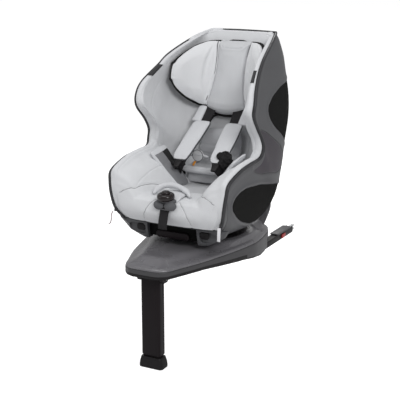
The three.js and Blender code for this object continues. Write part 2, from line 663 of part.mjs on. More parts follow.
// flat plate; outline: x, h
const headPlate = (outline, back, front) =>
  loft([back, front].map(d => outline.map(([x, h]) => onHead(x, h, d))));
const headFrame = headPlate([
  [-74, 4], [74, 4], [80, 20], [80, 180], [66, 200], [-66, 200], [-80, 180], [-80, 20],
], 6, 12);
const headHandle = headPlate([
  [-34, 201], [34, 201], [40, 206], [34, 222], [20, 226], [-20, 226], [-34, 222], [-40, 206],
], 6.5, 12);

const PAD_TOP = 203;
const PAD_WAIST = 50;  // half width at the narrowest height
function padHalfWidth(h) {
  if (h < 50) return lerp(64, 56, h / 50);
  if (h < 110) return lerp(56, PAD_WAIST, (h - 50) / 60);
  return lerp(PAD_WAIST, 54, (h - 110) / 93);
}

// rows: h, fullness
function headCentrePad() {
  const rows = [[-14, 0.3], [-5, 0.8], [50, 1], [110, 1], [160, 1], [190, 0.8], [PAD_TOP, 0.3]];
  const bulge = [0.62, 0.74, 0.92, 1, 0.92, 0.74, 0.62];
  const face = front => rows.map(([h, full]) => ACROSS.map((k, j) =>
    onHead(k * padHalfWidth(h), h, front ? 16 + 40 * full * bulge[j] : 12.5)));
  return slab(face(true), face(false));
}

// side wing, running outward from the centre pad:
// front face x,d | back face x,d | lowest and highest h
const WING = [
  [51, 36, 51, 13, -6, 190], [60, 46, 64, 13.5, -12, 196], [88, 66, 98, 24, -13, 192],
  [116, 98, 126, 60, -6, 170], [140, 138, 146, 112, 16, 122], [150, 162, 155, 157, 44, 96],
];
// fraction of the wing's height, share of its full thickness there
const WING_EDGE = [[0, 0.25], [0.06, 0.75], [0.2, 1], [0.5, 1], [0.8, 1], [0.94, 0.75], [1, 0.25]];
function headWing() {
  const face = front => WING.map(([frontX, frontD, backX, backD, low, high], i) => {
    const [faceX, faceD] = front ? [frontX, frontD] : [backX, backD];
    return WING_EDGE.map(([q, full]) => {
      const h = lerp(low, high, q);
      const padHalf = padHalfWidth(Math.min(PAD_TOP, Math.max(0, h)));
      // the inner rows follow the side of the centre pad
      const follow = i < 3 ? (padHalf - PAD_WAIST) * (1 - i / 3) : 0;
      const x = lerp((frontX + backX) / 2, faceX, full) + follow;
      return onHead(x, h, Math.max(12.8, lerp((frontD + backD) / 2, faceD, full)));
    });
  });
  return slab(face(true), face(false));
}

add('headrest_frame', headFrame, FINISH.headFrame);
add('headrest_centre_pad', headCentrePad(), FINISH.headPad);
addPairs(['headrest_wing', headWing(), FINISH.cover]);
add('headrest_handle', headHandle, FINISH.cradle);

// ---- anchorage arms ---------------------------------------------------------------------
const anchorArm = cut(anchorBox(14, 62, 388, -10, 12), anchorBox(7, 356, 420, -30, 30));
const anchorJaw = prism([
  [368, -8], [408, -9], [418, -8.4], [418, -2], [408, -2],
  [408, 4], [420, 4], [420, 9], [396, 9.6], [367, 8],
], 'x', ANCHOR_X - 6, ANCHOR_X + 6);
const anchorRelease = box(ANCHOR_X + 14.6, ANCHOR_X + 18.4, 284, 312, -6, 8);

addPairs(
  ['anchor_arm', anchorArm, FINISH.anchorArm],
  ['anchor_arm_cover', anchorBox(16.4, 250, 366, 12.6, 17.4, 4), FINISH.armCover],
  ['anchor_jaw', anchorJaw, FINISH.steel],
  ['anchor_release', anchorRelease, FINISH.redButton]);

// ---- support leg -------------------------------------------------------------------------
const INNER_TUBE = [30, 15];     // half width and half depth
const INNER_TUBE_END = -238.4;
const legRect = (halfX, halfY, chamfer) =>
  rect(-halfX, halfX, LEG_Y - halfY, LEG_Y + halfY, chamfer);
// outline in x,z of the adjust button, widened all round by a margin
const legButton = margin => rect(-12 - margin, 12 + margin, -206 - margin, -180 + margin, 5);

function legOuterTube() {
  const [halfX, halfY] = INNER_TUBE;
  return cut(prism(legRect(33, 18, 5), 'z', -232, 34),
    prism(legRect(halfX + GAP, halfY + GAP, 4), 'z', -300, -8),
    prism(legButton(0.5), 'y', LEG_Y + 10, LEG_Y + 30),
    cylinder('x', [LEG_Y, LEG_AXIS_Z], PIN_R + GAP, -60, 60, 12));
}
const legInnerTube = cut(
  prism(legRect(...INNER_TUBE, 4), 'z', INNER_TUBE_END, -60),
  prism(legRect(26, 11, 3), 'z', -200, -40));
// rows: z, half width, half depth
const legFoot = loft([
  [INNER_TUBE_END - GAP, 36, 20], [-246, 37, 21], [-268, 42, 23], [-275, 41, 22.4],
].map(([z, halfX, halfY]) => level(legRect(halfX, halfY, 7), z)));

add('leg_outer_tube', legOuterTube(), FINISH.outerTube);
add('leg_inner_tube', legInnerTube, FINISH.innerTube);
add('leg_foot', legFoot, FINISH.mattBlack);
add('leg_adjust_button', prism(legButton(0), 'y', LEG_Y + 18.2, LEG_Y + 21.4), FINISH.legButton);

for (const mesh of group.children) mesh.geometry.translate(0, -PAD_Y, 0);

export default group;
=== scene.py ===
"""Child car seat on a turntable base with a front support leg.

Shapes are worked out in millimetres: x across the seat, y from front (-) to back (+), z up,
with the turntable axis at x = y = 0. "Right" pieces lie at +x. to_frame() turns these
millimetres into the metres of the frame, whose origin lies PAD_Y behind the turntable axis.
"""
import json
import math

import bmesh
import bpy
import numpy as np
from mathutils import Matrix, Vector, noise

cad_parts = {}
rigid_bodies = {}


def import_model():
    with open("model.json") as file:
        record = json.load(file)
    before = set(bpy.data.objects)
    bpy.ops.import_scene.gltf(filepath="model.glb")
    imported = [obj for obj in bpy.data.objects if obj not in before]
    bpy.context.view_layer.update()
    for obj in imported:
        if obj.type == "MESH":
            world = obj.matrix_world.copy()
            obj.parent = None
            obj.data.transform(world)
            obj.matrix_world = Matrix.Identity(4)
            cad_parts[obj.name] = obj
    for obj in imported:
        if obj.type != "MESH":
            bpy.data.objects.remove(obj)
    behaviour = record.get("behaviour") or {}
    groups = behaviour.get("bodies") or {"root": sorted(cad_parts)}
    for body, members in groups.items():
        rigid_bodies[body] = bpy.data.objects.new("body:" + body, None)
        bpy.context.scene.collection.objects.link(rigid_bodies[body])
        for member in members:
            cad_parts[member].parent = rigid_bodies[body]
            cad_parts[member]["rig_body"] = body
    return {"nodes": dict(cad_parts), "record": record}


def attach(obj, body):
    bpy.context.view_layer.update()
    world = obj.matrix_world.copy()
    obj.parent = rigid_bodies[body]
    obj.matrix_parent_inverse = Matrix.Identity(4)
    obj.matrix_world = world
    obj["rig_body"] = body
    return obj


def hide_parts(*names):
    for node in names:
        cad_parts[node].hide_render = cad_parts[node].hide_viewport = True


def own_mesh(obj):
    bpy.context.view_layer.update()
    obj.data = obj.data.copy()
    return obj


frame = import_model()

PAD_Y = 150.0            # turntable axis to the frame origin
SIDES = (("right", 1), ("left", -1))
TURN = 2 * math.pi


def log_size():
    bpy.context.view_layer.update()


log_size()


# ---------------------------------------------------------------- curves and fields
def to_frame(points):
    out = np.array(points, float).reshape(-1, 3)
    out[:, 1] -= PAD_Y
    return out * 0.001


def to_mm(points):
    out = np.array(points, float) * 1000
    out[..., 1] += PAD_Y
    return out


def spline(table, t):
    """Catmull-Rom curve through the rows of a table at parameter t"""
    table = np.asarray(table, float)
    n = len(table)
    t = min(max(t, 0.0), n - 1.0)
    i = min(int(t), n - 2)
    f = t - i
    p1, p2 = table[i], table[i + 1]
    p0 = table[i - 1] if i > 0 else 2 * p1 - p2
    p3 = table[i + 2] if i + 2 < n else 2 * p2 - p1
    return 0.5 * ((2 * p1) + (-p0 + p2) * f + (2 * p0 - 5 * p1 + 4 * p2 - p3) * f * f
                  + (-p0 + 3 * p1 - 3 * p2 + p3) * f ** 3)


def arc_length(points):
    """running length along points, or along each row of a grid"""
    steps = np.linalg.norm(np.diff(points, axis=-2), axis=-1)
    start = np.zeros(steps.shape[:-1] + (1,))
    return np.concatenate([start, np.cumsum(steps, axis=-1)], -1)


def resample(points, n):
    points = np.asarray(points, float)
    length = arc_length(points)
    q = np.linspace(0, length[-1], n)
    return np.stack([np.interp(q, length, column) for column in points.T], 1)


def curve_pts(control, n, closed=False):
    """n points evenly spaced by length along a smooth curve through the control points"""
    control = np.asarray(control, float)
    count = len(control)
    if closed:
        wrapped = np.vstack([control[-1], control, control[0], control[1]])
        dense = [spline(wrapped, t) for t in np.linspace(1, count + 1, 24 * count)]
        return resample(dense, n + 1)[:-1]
    return resample([spline(control, t) for t in np.linspace(0, count - 1, 24 * count)], n)


def super_radius(c, s, power):
    """radius of a unit superellipse in the direction (c, s)"""
    return 1 / (abs(c) ** power + abs(s) ** power) ** (1 / power)


def super_quarter(u, power):
    c, s = math.cos(u * math.pi / 2), math.sin(u * math.pi / 2)
    r = super_radius(c, s, power)
    return r * c, r * s


def angles(n):
    return np.arange(n) / n * 2 * math.pi


def grid_normals(grid):
    out = np.cross(np.gradient(grid, axis=0), np.gradient(grid, axis=1))
    return out / (np.linalg.norm(out, axis=2, keepdims=True) + 1e-9)


def soft_noise(points, scale, seed=0.0):
    return np.array([noise.noise(Vector((p[0] / scale + seed, p[1] / scale - seed,
                                         p[2] / scale + 3 * seed))) for p in points])


def groove(d, w):
    """bell of width w around d = 0"""
    return np.exp(-(np.asarray(d) / w) ** 2)


def between(v, low, high, soft):
    """1 between low and high, fading over soft"""
    return 1 / (1 + np.exp(-(v - low) / soft)) / (1 + np.exp((v - high) / soft))


def line_distance(points, line):
    best = np.full(len(points), 1e9)
    for a, b in zip(line[:-1], line[1:]):
        ab = b - a
        t = np.clip(((points - a) @ ab) / (ab @ ab + 1e-9), 0, 1)
        best = np.minimum(best, np.linalg.norm(points - (a + t[:, None] * ab), axis=1))
    return best


def inside(points, polygon):
    x, y = points[:, 0], points[:, 1]
    hit = np.zeros(len(points), bool)
    for (xi, yi), (xj, yj) in zip(polygon, np.roll(polygon, 1, 0)):
        hit ^= ((yi > y) != (yj > y)) & (x < (xj - xi) * (y - yi) / (yj - yi + 1e-12) + xi)
    return hit


# ---------------------------------------------------------------- mesh makers
def make(name, verts, faces, material, slot=None, body="seat", sharp=None):
    """mesh object from millimetre points; sharp is the angle kept as a hard edge"""
    me = bpy.data.meshes.new(name)
    me.from_pydata([tuple(v) for v in to_frame(verts)], [], faces)
    me.validate()
    obj = bpy.data.objects.new(name, me)
    bpy.context.scene.collection.objects.link(obj)
    bm = bmesh.new()
    bm.from_mesh(me)
    bmesh.ops.remove_doubles(bm, verts=bm.verts, dist=2e-6)
    bmesh.ops.recalc_face_normals(bm, faces=bm.faces)
    bm.to_mesh(me)
    bm.free()
    me.shade_smooth()
    if sharp is not None:
        me.set_sharp_from_angle(angle=math.radians(sharp))
    me.materials.append(material)
    if body:
        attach(obj, body)
    return obj


def grid_faces(m, n, close_u=False, close_v=False):
    faces = []
    for i in range(m if close_u else m - 1):
        for j in range(n if close_v else n - 1):
            a, b = (i + 1) % m, (j + 1) % n
            faces.append((i * n + j, a * n + j, a * n + b, i * n + b))
    return faces


def grid_obj(name, grid, material, slot, **options):
    m, n = grid.shape[:2]
    return make(name, grid.reshape(-1, 3), grid_faces(m, n), material, slot, **options)


def mirrored_grid(name, half, *args, **options):
    """grid from a right half whose rows end on the centre plane"""
    half[:, -1, 0] = 0
    full = np.concatenate([half * (-1, 1, 1), half[:, ::-1][:, 1:]], 1)
    return grid_obj(name, full, *args, **options)


def rings_obj(name, rings, material, slot=None, ends="capped", **options):
    """skin through a stack of rings; its ends are "capped", "open" or "joined" """
    m, n = len(rings), len(rings[0])
    faces = grid_faces(m, n, close_u=ends == "joined", close_v=True)
    if ends == "capped":
        faces += [tuple(range(n)), tuple(range((m - 1) * n, m * n))]
    return make(name, np.vstack(rings), faces, material, slot, **options)


def tube(name, points, radius, material, slot, closed=False, n=10, flat=1.0, up=(0, 0, 1),
         body="seat"):
    """round or flattened cord along points; radius may be a list"""
    points = np.asarray(points, float)
    m = len(points)
    if closed:
        along = np.roll(points, -1, 0) - np.roll(points, 1, 0)
    else:
        along = np.gradient(points, axis=0)
    along /= np.linalg.norm(along, axis=1, keepdims=True) + 1e-9
    side = np.zeros_like(points)
    for i in range(m):
        s = np.cross(along[i], np.array(up, float))
        if np.linalg.norm(s) < 1e-3:
            s = np.cross(along[i], (1, 0, 0.1))
        s /= np.linalg.norm(s)
        if i and s @ side[i - 1] < 0:
            s = -s
        side[i] = s
    third = np.cross(along, side)
    radii = np.full(m, radius) if np.isscalar(radius) else np.asarray(radius, float)
    c, s = np.cos(angles(n))[:, None], np.sin(angles(n))[:, None]
    rings = [points[i] + radii[i] * (c * side[i] + flat * s * third[i]) for i in range(m)]
    return rings_obj(name, rings, material, slot, "joined" if closed else "capped", body=body)


def pillow(name, ring_at, count, material, slot=None, body="seat", around=56,
           caps=((0.92, 1.6), (0.74, 2.8), (0.45, 3.4), (0.15, 3.6))):
    """closed pad; ring_at(0..1) gives centre, two half-size vectors and a corner power.
    caps are (scale, distance beyond the end ring)"""
    specs = [ring_at(a) for a in np.linspace(0, 1, count)]

    def ring(spec, scale=1.0, shift=0.0):
        centre, half_1, half_2, power = spec
        out = []
        for i in range(around):
            a = i / around * 2 * math.pi
            c, s = math.cos(a), math.sin(a)
            r = super_radius(c, s, power)
            out.append(centre + shift + half_1 * r * c * scale + half_2 * r * s * scale)
        return np.array(out)

    def end(spec, neighbour):
        out = spec[0] - neighbour[0]
        out = out / np.linalg.norm(out)
        return [ring(spec, scale, out * gap) for scale, gap in caps]

    rings = end(specs[0], specs[1])[::-1] + [ring(s) for s in specs] + end(specs[-1], specs[-2])
    return rings_obj(name, rings, material, slot, body=body)


def strap(name, points, half_width, thick, sides, material=None, slot="webbing", n=120):
    """flat ribbed band along points; sides are the directions across it"""
    points = np.asarray(points, float)
    steps = np.linspace(0, len(points) - 1, n)
    centre = np.array([spline(points, t) for t in steps])
    across = np.array([spline(sides, t) for t in steps])
    widths = np.broadcast_to(np.asarray(half_width, float), len(points))
    widths = np.interp(steps, range(len(points)), widths)
    along = np.gradient(centre, axis=0)
    along /= np.linalg.norm(along, axis=1, keepdims=True)
    across -= (across * along).sum(1, keepdims=True) * along
    across /= np.linalg.norm(across, axis=1, keepdims=True)
    normal = np.cross(along, across)
    K = np.linspace(-1, 1, 25)
    top = [(k, 1.0 + 0.12 * math.cos(k * 30) - 0.55 * abs(k) ** 10) for k in K]
    bottom = [(k, -1.0 + 0.5 * abs(k) ** 10) for k in K[::-1]]
    rings = [[c + s * w * k + nn * h * thick / 2 for k, h in top + bottom]
             for c, s, nn, w in zip(centre, across, normal, widths)]
    return rings_obj(name, rings, material or WEBBING, slot, sharp=60)


def lathe(name, profile, cx, cy, material, slot, body="seat", n=64, tilt=0.0, z0=0.0,
          sharp=None):
    """turned form from (radius, z) pairs; tilt lifts it toward +y"""
    rings = [[(cx + r * math.cos(a), cy + r * math.sin(a), z0 + z + tilt * (r * math.sin(a)))
              for a in angles(n)] for r, z in profile]
    return rings_obj(name, rings, material, slot, body=body, sharp=sharp)


# ---------------------------------------------------------------- mesh finishing
def read_points(me):
    """vertex places in metres"""
    co = np.empty(len(me.vertices) * 3)
    me.vertices.foreach_get("co", co)
    return co.reshape(-1, 3)


def write_points(me, co):
    me.vertices.foreach_set("co", co.reshape(-1))
    me.update()


def relief(obj, height):
    """moves vertices along their normals by height(points in mm)"""
    me = obj.data
    co = read_points(me)
    normal = np.array([v.normal[:] for v in me.vertices])
    write_points(me, co + normal * height(to_mm(co))[:, None] * 0.001)


def roughen(obj, scale, seed, amount):
    relief(obj, lambda P: soft_noise(P, scale, seed) * amount)


def puff(obj, cap, hold=None, pressure=3.0, seed=1.0):
    """inflates a closed pad as cloth, moving it cap mm at most.
    hold(points in mm) gives 0..1 pinning weights"""
    last_frame = 20
    me = obj.data
    start = read_points(me)
    group = obj.vertex_groups.new(name="pin")
    weights = hold(to_mm(start)) if hold else np.zeros(len(start))
    for i, weight in enumerate(weights):
        group.add([i], float(min(1, max(0, weight))), 'REPLACE')
    cloth = obj.modifiers.new("puff", 'CLOTH')
    s = cloth.settings
    s.quality = 5
    s.mass = 0.25
    s.tension_stiffness = 18
    s.compression_stiffness = 18
    s.shear_stiffness = 6
    s.bending_stiffness = 1.2
    s.use_pressure = True
    s.uniform_pressure_force = pressure
    s.effector_weights.gravity = 0
    s.vertex_group_mass = "pin"
    s.pin_stiffness = 1.0
    cloth.collision_settings.use_collision = False
    cloth.point_cache.frame_start = 1
    cloth.point_cache.frame_end = last_frame
    scene = bpy.context.scene
    for f in range(1, last_frame + 1):
        scene.frame_set(f)
    evaluated = obj.evaluated_get(bpy.context.evaluated_depsgraph_get())
    end = read_points(evaluated.to_mesh())
    evaluated.to_mesh_clear()
    obj.modifiers.remove(cloth)
    scene.frame_set(1)
    move = (end - start) * 1000
    if not np.isfinite(move).all():      # a failed simulation leaves the pad as it was
        move = np.zeros_like(move)
    length = np.linalg.norm(move, axis=1, keepdims=True)
    move = move * np.minimum(1, cap / np.maximum(length, 1e-6))
    write_points(me, start + move * 0.001)
    roughen(obj, 30, seed, 0.7)


def subdivide(obj):
    modifier = obj.modifiers.new("round", 'SUBSURF')
    modifier.levels = modifier.render_levels = 1
    bpy.context.view_layer.objects.active = obj
    for other in bpy.context.selected_objects:
        other.select_set(False)
    obj.select_set(True)
    bpy.ops.object.modifier_apply(modifier=modifier.name)
    obj.data.shade_smooth()


def mirror(obj):
    obj.data.transform(Matrix.Diagonal((-1, 1, 1, 1)))
    obj.data.flip_normals()


def paint(obj, materials, choose):
    """adds materials; choose(face centre in mm, normal) gives each face's slot"""
    for material in materials:
        obj.data.materials.append(material)
    for face in obj.data.polygons:
        face.material_index = int(choose(to_mm(face.center), face.normal))


# ---------------------------------------------------------------- shader nodes
def set_inputs(tree, node, inputs):
    """gives each input a value, or links it when the value is a socket"""
    for key, value in inputs.items():
        if isinstance(value, bpy.types.NodeSocket):
            tree.links.new(value, node.inputs[key])
        else:
            node.inputs[key].default_value = value


def add_node(tree, kind, output, inputs=None, **settings):
    """adds a node and returns one of its outputs"""
    node = tree.nodes.new("ShaderNode" + kind)
    for key, value in settings.items():
        setattr(node, key, value)
    set_inputs(tree, node, inputs or {})
    return node.outputs[output]


def new_material(name):
    material = bpy.data.materials.new(name)
    material.use_nodes = True
    tree = material.node_tree
    return material, tree, add_node(tree, "TexCoord", "Object")


def set_surface(tree, inputs):
    set_inputs(tree, tree.nodes["Principled BSDF"], inputs)


def ramp(tree, fac, low, high, low_at=0.0, high_at=1.0):
    colour = add_node(tree, "ValToRGB", "Color", {"Fac": fac})
    elements = colour.node.color_ramp.elements
    for element, rgb, place in zip(elements, (low, high), (low_at, high_at)):
        element.position = place
        element.color = (*rgb, 1)
    return colour


def tint(rgb, factor):
    return [min(1, c * factor) for c in rgb]


def add_bump(tree, height, strength, distance):
    return add_node(tree, "Bump", "Normal",
                    {"Strength": strength, "Distance": distance, "Height": height})


def fabric(name, base, contrast=0.10, weave=1500.0, bump=0.25, sheen=0.12, rough=0.92,
           specular=0.25):
    """woven cloth: crossed bands and fine noise, with large soft mottling in the colour"""
    material, tree, coords = new_material(name)
    wave_x, wave_z, wave_y = [
        add_node(tree, "TexWave", "Fac", {"Vector": coords, "Scale": weave, "Distortion": 1.2,
                                          "Detail": 1.0}, bands_direction=axis)
        for axis in "XZY"]
    crossed = add_node(tree, "Math", 0, {0: wave_x, 1: wave_z}, operation='MULTIPLY')
    bands = add_node(tree, "Math", 0, {0: crossed, 1: wave_y}, operation='ADD')
    fine, mottle = [add_node(tree, "TexNoise", "Fac",
                             {"Vector": coords, "Scale": scale, "Detail": detail})
                    for scale, detail in ((900, 3), (14.0, 4))]
    relief_fac = add_node(tree, "Math", 0, {0: bands, 1: 0.35, 2: fine},
                          operation='MULTIPLY_ADD')
    colour_fac = add_node(tree, "Math", 0, {0: mottle, 1: 0.35, 2: relief_fac},
                          operation='MULTIPLY_ADD')
    colour = ramp(tree, colour_fac, tint(base, 1 - contrast), tint(base, 1 + contrast),
                  low_at=0.45)
    set_surface(tree, {
        "Base Color": colour, "Normal": add_bump(tree, relief_fac, bump, 0.0006),
        "Roughness": rough, "Specular IOR Level": specular,
        "Sheen Weight": sheen, "Sheen Roughness": 0.45})
    return material


def plastic(name, base, rough=0.42, grain=0.06, spec=0.5, coat=0.0, metal=0.0, scale=700.0):
    """grained moulding with slow changes of colour and roughness"""
    variation = 0.08
    material, tree, coords = new_material(name)
    fine, broad = [add_node(tree, "TexNoise", "Fac",
                            {"Vector": coords, "Scale": size, "Detail": detail})
                   for size, detail in ((scale, 2), (9, 5))]
    colour = ramp(tree, broad, tint(base, 1 - variation), tint(base, 1 + variation),
                  low_at=0.3, high_at=0.7)
    roughness = add_node(tree, "MapRange", "Result",
                         {"To Min": rough - 0.06, "To Max": rough + 0.08, "Value": broad})
    set_surface(tree, {
        "Base Color": colour, "Roughness": roughness,
        "Normal": add_bump(tree, fine, grain, 0.0004),
        "Specular IOR Level": spec, "Metallic": metal, "Coat Weight": coat})
    return material


def webbing(name, base):
    """strap weave: coarse bands with finer diagonal ones"""
    material, tree, coords = new_material(name)
    coarse, diagonal = [
        add_node(tree, "TexWave", "Fac", {"Vector": coords, "Scale": scale,
                                          "Distortion": distortion}, bands_direction=direction)
        for direction, scale, distortion in (('X', 160, 0.4), ('DIAGONAL', 420, 0.8))]
    both = add_node(tree, "Math", 0, {0: coarse, 1: diagonal}, operation='ADD')
    set_surface(tree, {
        "Base Color": ramp(tree, both, tint(base, 0.6), tint(base, 1.5)),
        "Normal": add_bump(tree, both, 0.5, 0.0007),
        "Roughness": 0.75, "Sheen Weight": 0.03, "Specular IOR Level": 0.2})
    return material


# ---------------------------------------------------------------- materials
COVER_CLOTH = fabric("cover_cloth", (0.545, 0.552, 0.568))
PAD_CLOTH = fabric("pad_cloth", (0.50, 0.507, 0.525), contrast=0.08)
HEAD_CLOTH = fabric("head_cloth", (0.60, 0.607, 0.622), contrast=0.07)
HEAD_CENTRE_CLOTH = fabric("head_centre_cloth", (0.46, 0.467, 0.482))
# darker cloth as painted shade: the sunk seat centre and the face of the insert block below its
# band
SEAT_SHADE_CLOTH = fabric("seat_centre_shade_cloth", (0.40, 0.405, 0.42))
INSERT_CLOTH = fabric("insert_cloth", (0.42, 0.426, 0.445))
GUSSET = fabric("gusset_cloth", (0.085, 0.086, 0.092), contrast=0.15, sheen=0.05)
KNIT = fabric("charcoal_knit", (0.011, 0.0108, 0.0115), contrast=0.35, weave=700, bump=0.6,
              sheen=0.03)
# mid-grey cloth as painted shade on the inward faces of the hip pads
FLAP_SHADE_CLOTH = fabric("flap_shade_cloth", (0.165, 0.167, 0.176), contrast=0.14, sheen=0.05)
WEBBING = webbing("webbing_black", (0.011, 0.0105, 0.0115))
SHELL = plastic("shell_satin", (0.070, 0.071, 0.076), rough=0.40, grain=0.10, spec=0.32)
BASE = plastic("base_satin", (0.118, 0.115, 0.124), rough=0.26, grain=0.07, spec=0.6)
BAND = plastic("band_satin", (0.045, 0.044, 0.047), rough=0.40, grain=0.08, spec=0.35)
PANEL = plastic("panel_satin", (0.046, 0.040, 0.049), rough=0.44, grain=0.10, spec=0.25)
INSERT_MESH = fabric("insert_mesh_black", (0.0085, 0.0085, 0.0083), contrast=0.3, weave=420,
                     bump=0.5, sheen=0.0, rough=0.95, specular=0.1)
BLACK = plastic("black_satin", (0.009, 0.008, 0.0088), rough=0.45, grain=0.12, spec=0.18)
LEG = plastic("leg_black", (0.0085, 0.0062, 0.0074), rough=0.38, grain=0.05, spec=0.12)
# black panel made darker still, as painted shade of the gap under the cover's front
PANEL_SHADE_BLACK = plastic("panel_black_painted_shade", (0.003, 0.003, 0.003), rough=0.6, grain=0.1, spec=0.06)
RIM = plastic("rim_satin", (0.032, 0.032, 0.035), grain=0.10, spec=0.3)
GLOSS = plastic("gloss_black", (0.010, 0.006, 0.0065), rough=0.24, grain=0.01, spec=0.35,
                coat=0.1)
PIPING = plastic("piping_black", (0.014, 0.014, 0.016), rough=0.6, grain=0.3, scale=1600)
LIGHT = plastic("light_moulding", (0.60, 0.605, 0.62), rough=0.38, grain=0.04)
RED = plastic("red_moulding", (0.35, 0.02, 0.02), rough=0.35)
ORANGE = fabric("orange_tab", (0.55, 0.22, 0.03), contrast=0.2, weave=900)
STEEL = plastic("zinc_steel", (0.55, 0.56, 0.57), rough=0.32, grain=0.05, metal=1.0, scale=300)
FOAM = plastic("bead_foam", (0.03, 0.03, 0.032), rough=0.85, grain=0.8, scale=260)
PULL_TAPE = fabric("pull_tape", (0.62, 0.62, 0.64), weave=1400)
PULL_CORD = fabric("pull_cord", (0.36, 0.31, 0.315), contrast=0.25, weave=2200)

SLOT_MATERIALS = {
    "cover_fabric": COVER_CLOTH, "pad_fabric": PAD_CLOTH, "dark_fabric": KNIT,
    "webbing": WEBBING, "shell_plastic": SHELL, "black_plastic": BLACK,
    "panel_plastic": PANEL, "gloss_black": GLOSS, "light_plastic": LIGHT,
    "red_plastic": RED, "foam": FOAM, "steel": STEEL, "piping": PIPING}
for node, obj in frame["nodes"].items():
    slot = next((p["material_slot"] for p in frame["record"]["subparts"] if p["node"] == node),
                "black_plastic")
    obj.data.materials.clear()
    obj.data.materials.append(SLOT_MATERIALS[slot])

# ---------------------------------------------------------------- seat stations
# Cross-sections from the front hem (0) round the seat and up the back to the top (17).
# Columns: rim x, y, z; cover centre y, z; shell centre y, z; width of the rolled edge;
# corner power of the cover; corner power of the shell.
STATIONS = np.array([
    [165, -232, 159, -250, 160, -200, 112, 30, 3, 2.2],
    [185, -253, 194, -264, 190, -200, 104, 34, 3, 2.2],
    [195, -261, 238, -264, 214, -195, 98, 34, 2.8, 2.4],
    [201, -259, 280, -256, 232, -185, 98, 34, 2.6, 2.6],
    [204, -245, 314, -235, 240, -150, 97.6, 34, 2.6, 3.2],
    [205, -166, 339, -160, 238, -80, 97.6, 34, 2.6, 4],
    [205, -95, 347, -80, 235, -10, 98.4, 34, 2.6, 4.6],
    [204, -28, 352, 10, 233, 86, 110, 34, 2.6, 5],
    [207, -10, 378, 75, 242, 148, 143, 34, 2.6, 5.2],
    [203, -14, 409, 112, 275, 200, 192, 34, 2.8, 5.6],
    [201, -43, 447, 130, 325, 234, 258, 34, 3, 6],
    [206, -85, 494, 150, 385, 256, 345, 30, 3.4, 6],
    [208, -82, 532, 172, 445, 280, 430, 24, 3.8, 6],
    [200, -57, 570, 193, 510, 292, 510, 18, 4.4, 6],
    [180, 10, 615, 215.5, 580, 296, 590, 14, 5, 6],
    [168, 70, 650, 235, 640, 295, 645, 14, 5, 5.5],
    [142, 193, 693, 251, 690, 290, 692, 14, 5, 5],
    [118, 270, 711, 258, 712, 288, 713, 14, 5, 4]], float)
TOP_T = len(STATIONS) - 1
COVER_CENTRE, SHELL_CENTRE = slice(3, 5), slice(5, 7)
FLANGE = 3.4                      # how far the shell stands outside the rim
CREST_POINTS, WALL_POINTS = 34, 104


def section(t, centre):
    """station row at t, its depth from rim to centre line, and a function placing (x, depth)"""
    row = spline(STATIONS, t)
    dy, dz = row[centre] - row[1:3]
    depth = math.hypot(dy, dz)

    def place(x, d):
        return (x, row[1] + dy / depth * d, row[2] + dz / depth * d)
    return row, depth, place


def station_steps(t0, t1, step):
    """station parameters about step mm apart"""
    ts = np.linspace(t0, t1, 800)
    rows = np.array([spline(STATIONS, t)[:5] for t in ts])
    mid = np.stack([rows[:, 0] * 0.3, (rows[:, 1] + rows[:, 3]) / 2,
                    (rows[:, 2] + rows[:, 4]) / 2], 1)
    steps = np.linalg.norm(np.diff(mid, axis=0), axis=1) + 0.15
    length = np.concatenate([[0], np.cumsum(steps)])
    return np.interp(np.linspace(0, length[-1], int(length[-1] / step)), length, ts)


# ---------------------------------------------------------------- cover
def cover_half(t):
    """right half of the cover's section, from the rim to the centre plane"""
    row, depth, place = section(t, COVER_CENTRE)
    x = row[0]
    k = min(1.0, depth / 80)
    # the seat sides lean inward in one padded slope
    slope = float(np.interp(t, [1.8, 2.9, 6.7, 8.2], [0, 1, 1, 0]))
    roll = row[7] * (1 - 0.24 * slope) * min(1.0, 0.25 + depth / 80)
    rise = 8.4 - 2.0 * slope
    inner = x - roll
    wall = np.array([(inner * a, depth * b) for a, b in
                     (super_quarter(u, row[8]) for u in np.linspace(0, 1, 160))])
    if slope > 0:
        knee = min(inner - 30, float(np.interp(t, [2.8, 4, 5, 6, 7, 8],
                                               [112, 92, 72, 61, 61, 78])))
        run = np.array([(inner, 0), (inner - 7, 0.07 * depth),
                        (knee + 0.62 * (inner - knee) - 6, 0.32 * depth - 3),
                        (knee + 0.28 * (inner - knee) - 2, 0.66 * depth - 2),
                        (knee + 5, 0.95 * depth), (knee - 14, 0.995 * depth),
                        (knee * 0.5, depth), (0, depth)])
        wall = resample(wall, 160) * (1 - slope) + curve_pts(run, 160) * slope
    crest = curve_pts([(x - 1.5, 6.5 * k), (x + 0.1, 2 * k), (x - 0.1 * roll, -0.5 * rise * k),
                       (x - 0.42 * roll, -rise * k), (x - 0.76 * roll, -0.72 * rise * k),
                       (inner, 0), tuple(wall[6])], CREST_POINTS + 6)
    outline = np.vstack([resample(crest, CREST_POINTS)[:-1], resample(wall[6:], WALL_POINTS)])
    return np.array([place(a, b) for a, b in outline])


# (station, x) along the seam across the front bolster
BOLSTER_SEAM = np.array([(2.36, 168), (2.81, 144.5), (3.51, 122.7), (4.16, 110.8),
                         (4.56, 103.4), (4.86, 95), (5.12, 85.9), (5.37, 75.2)])


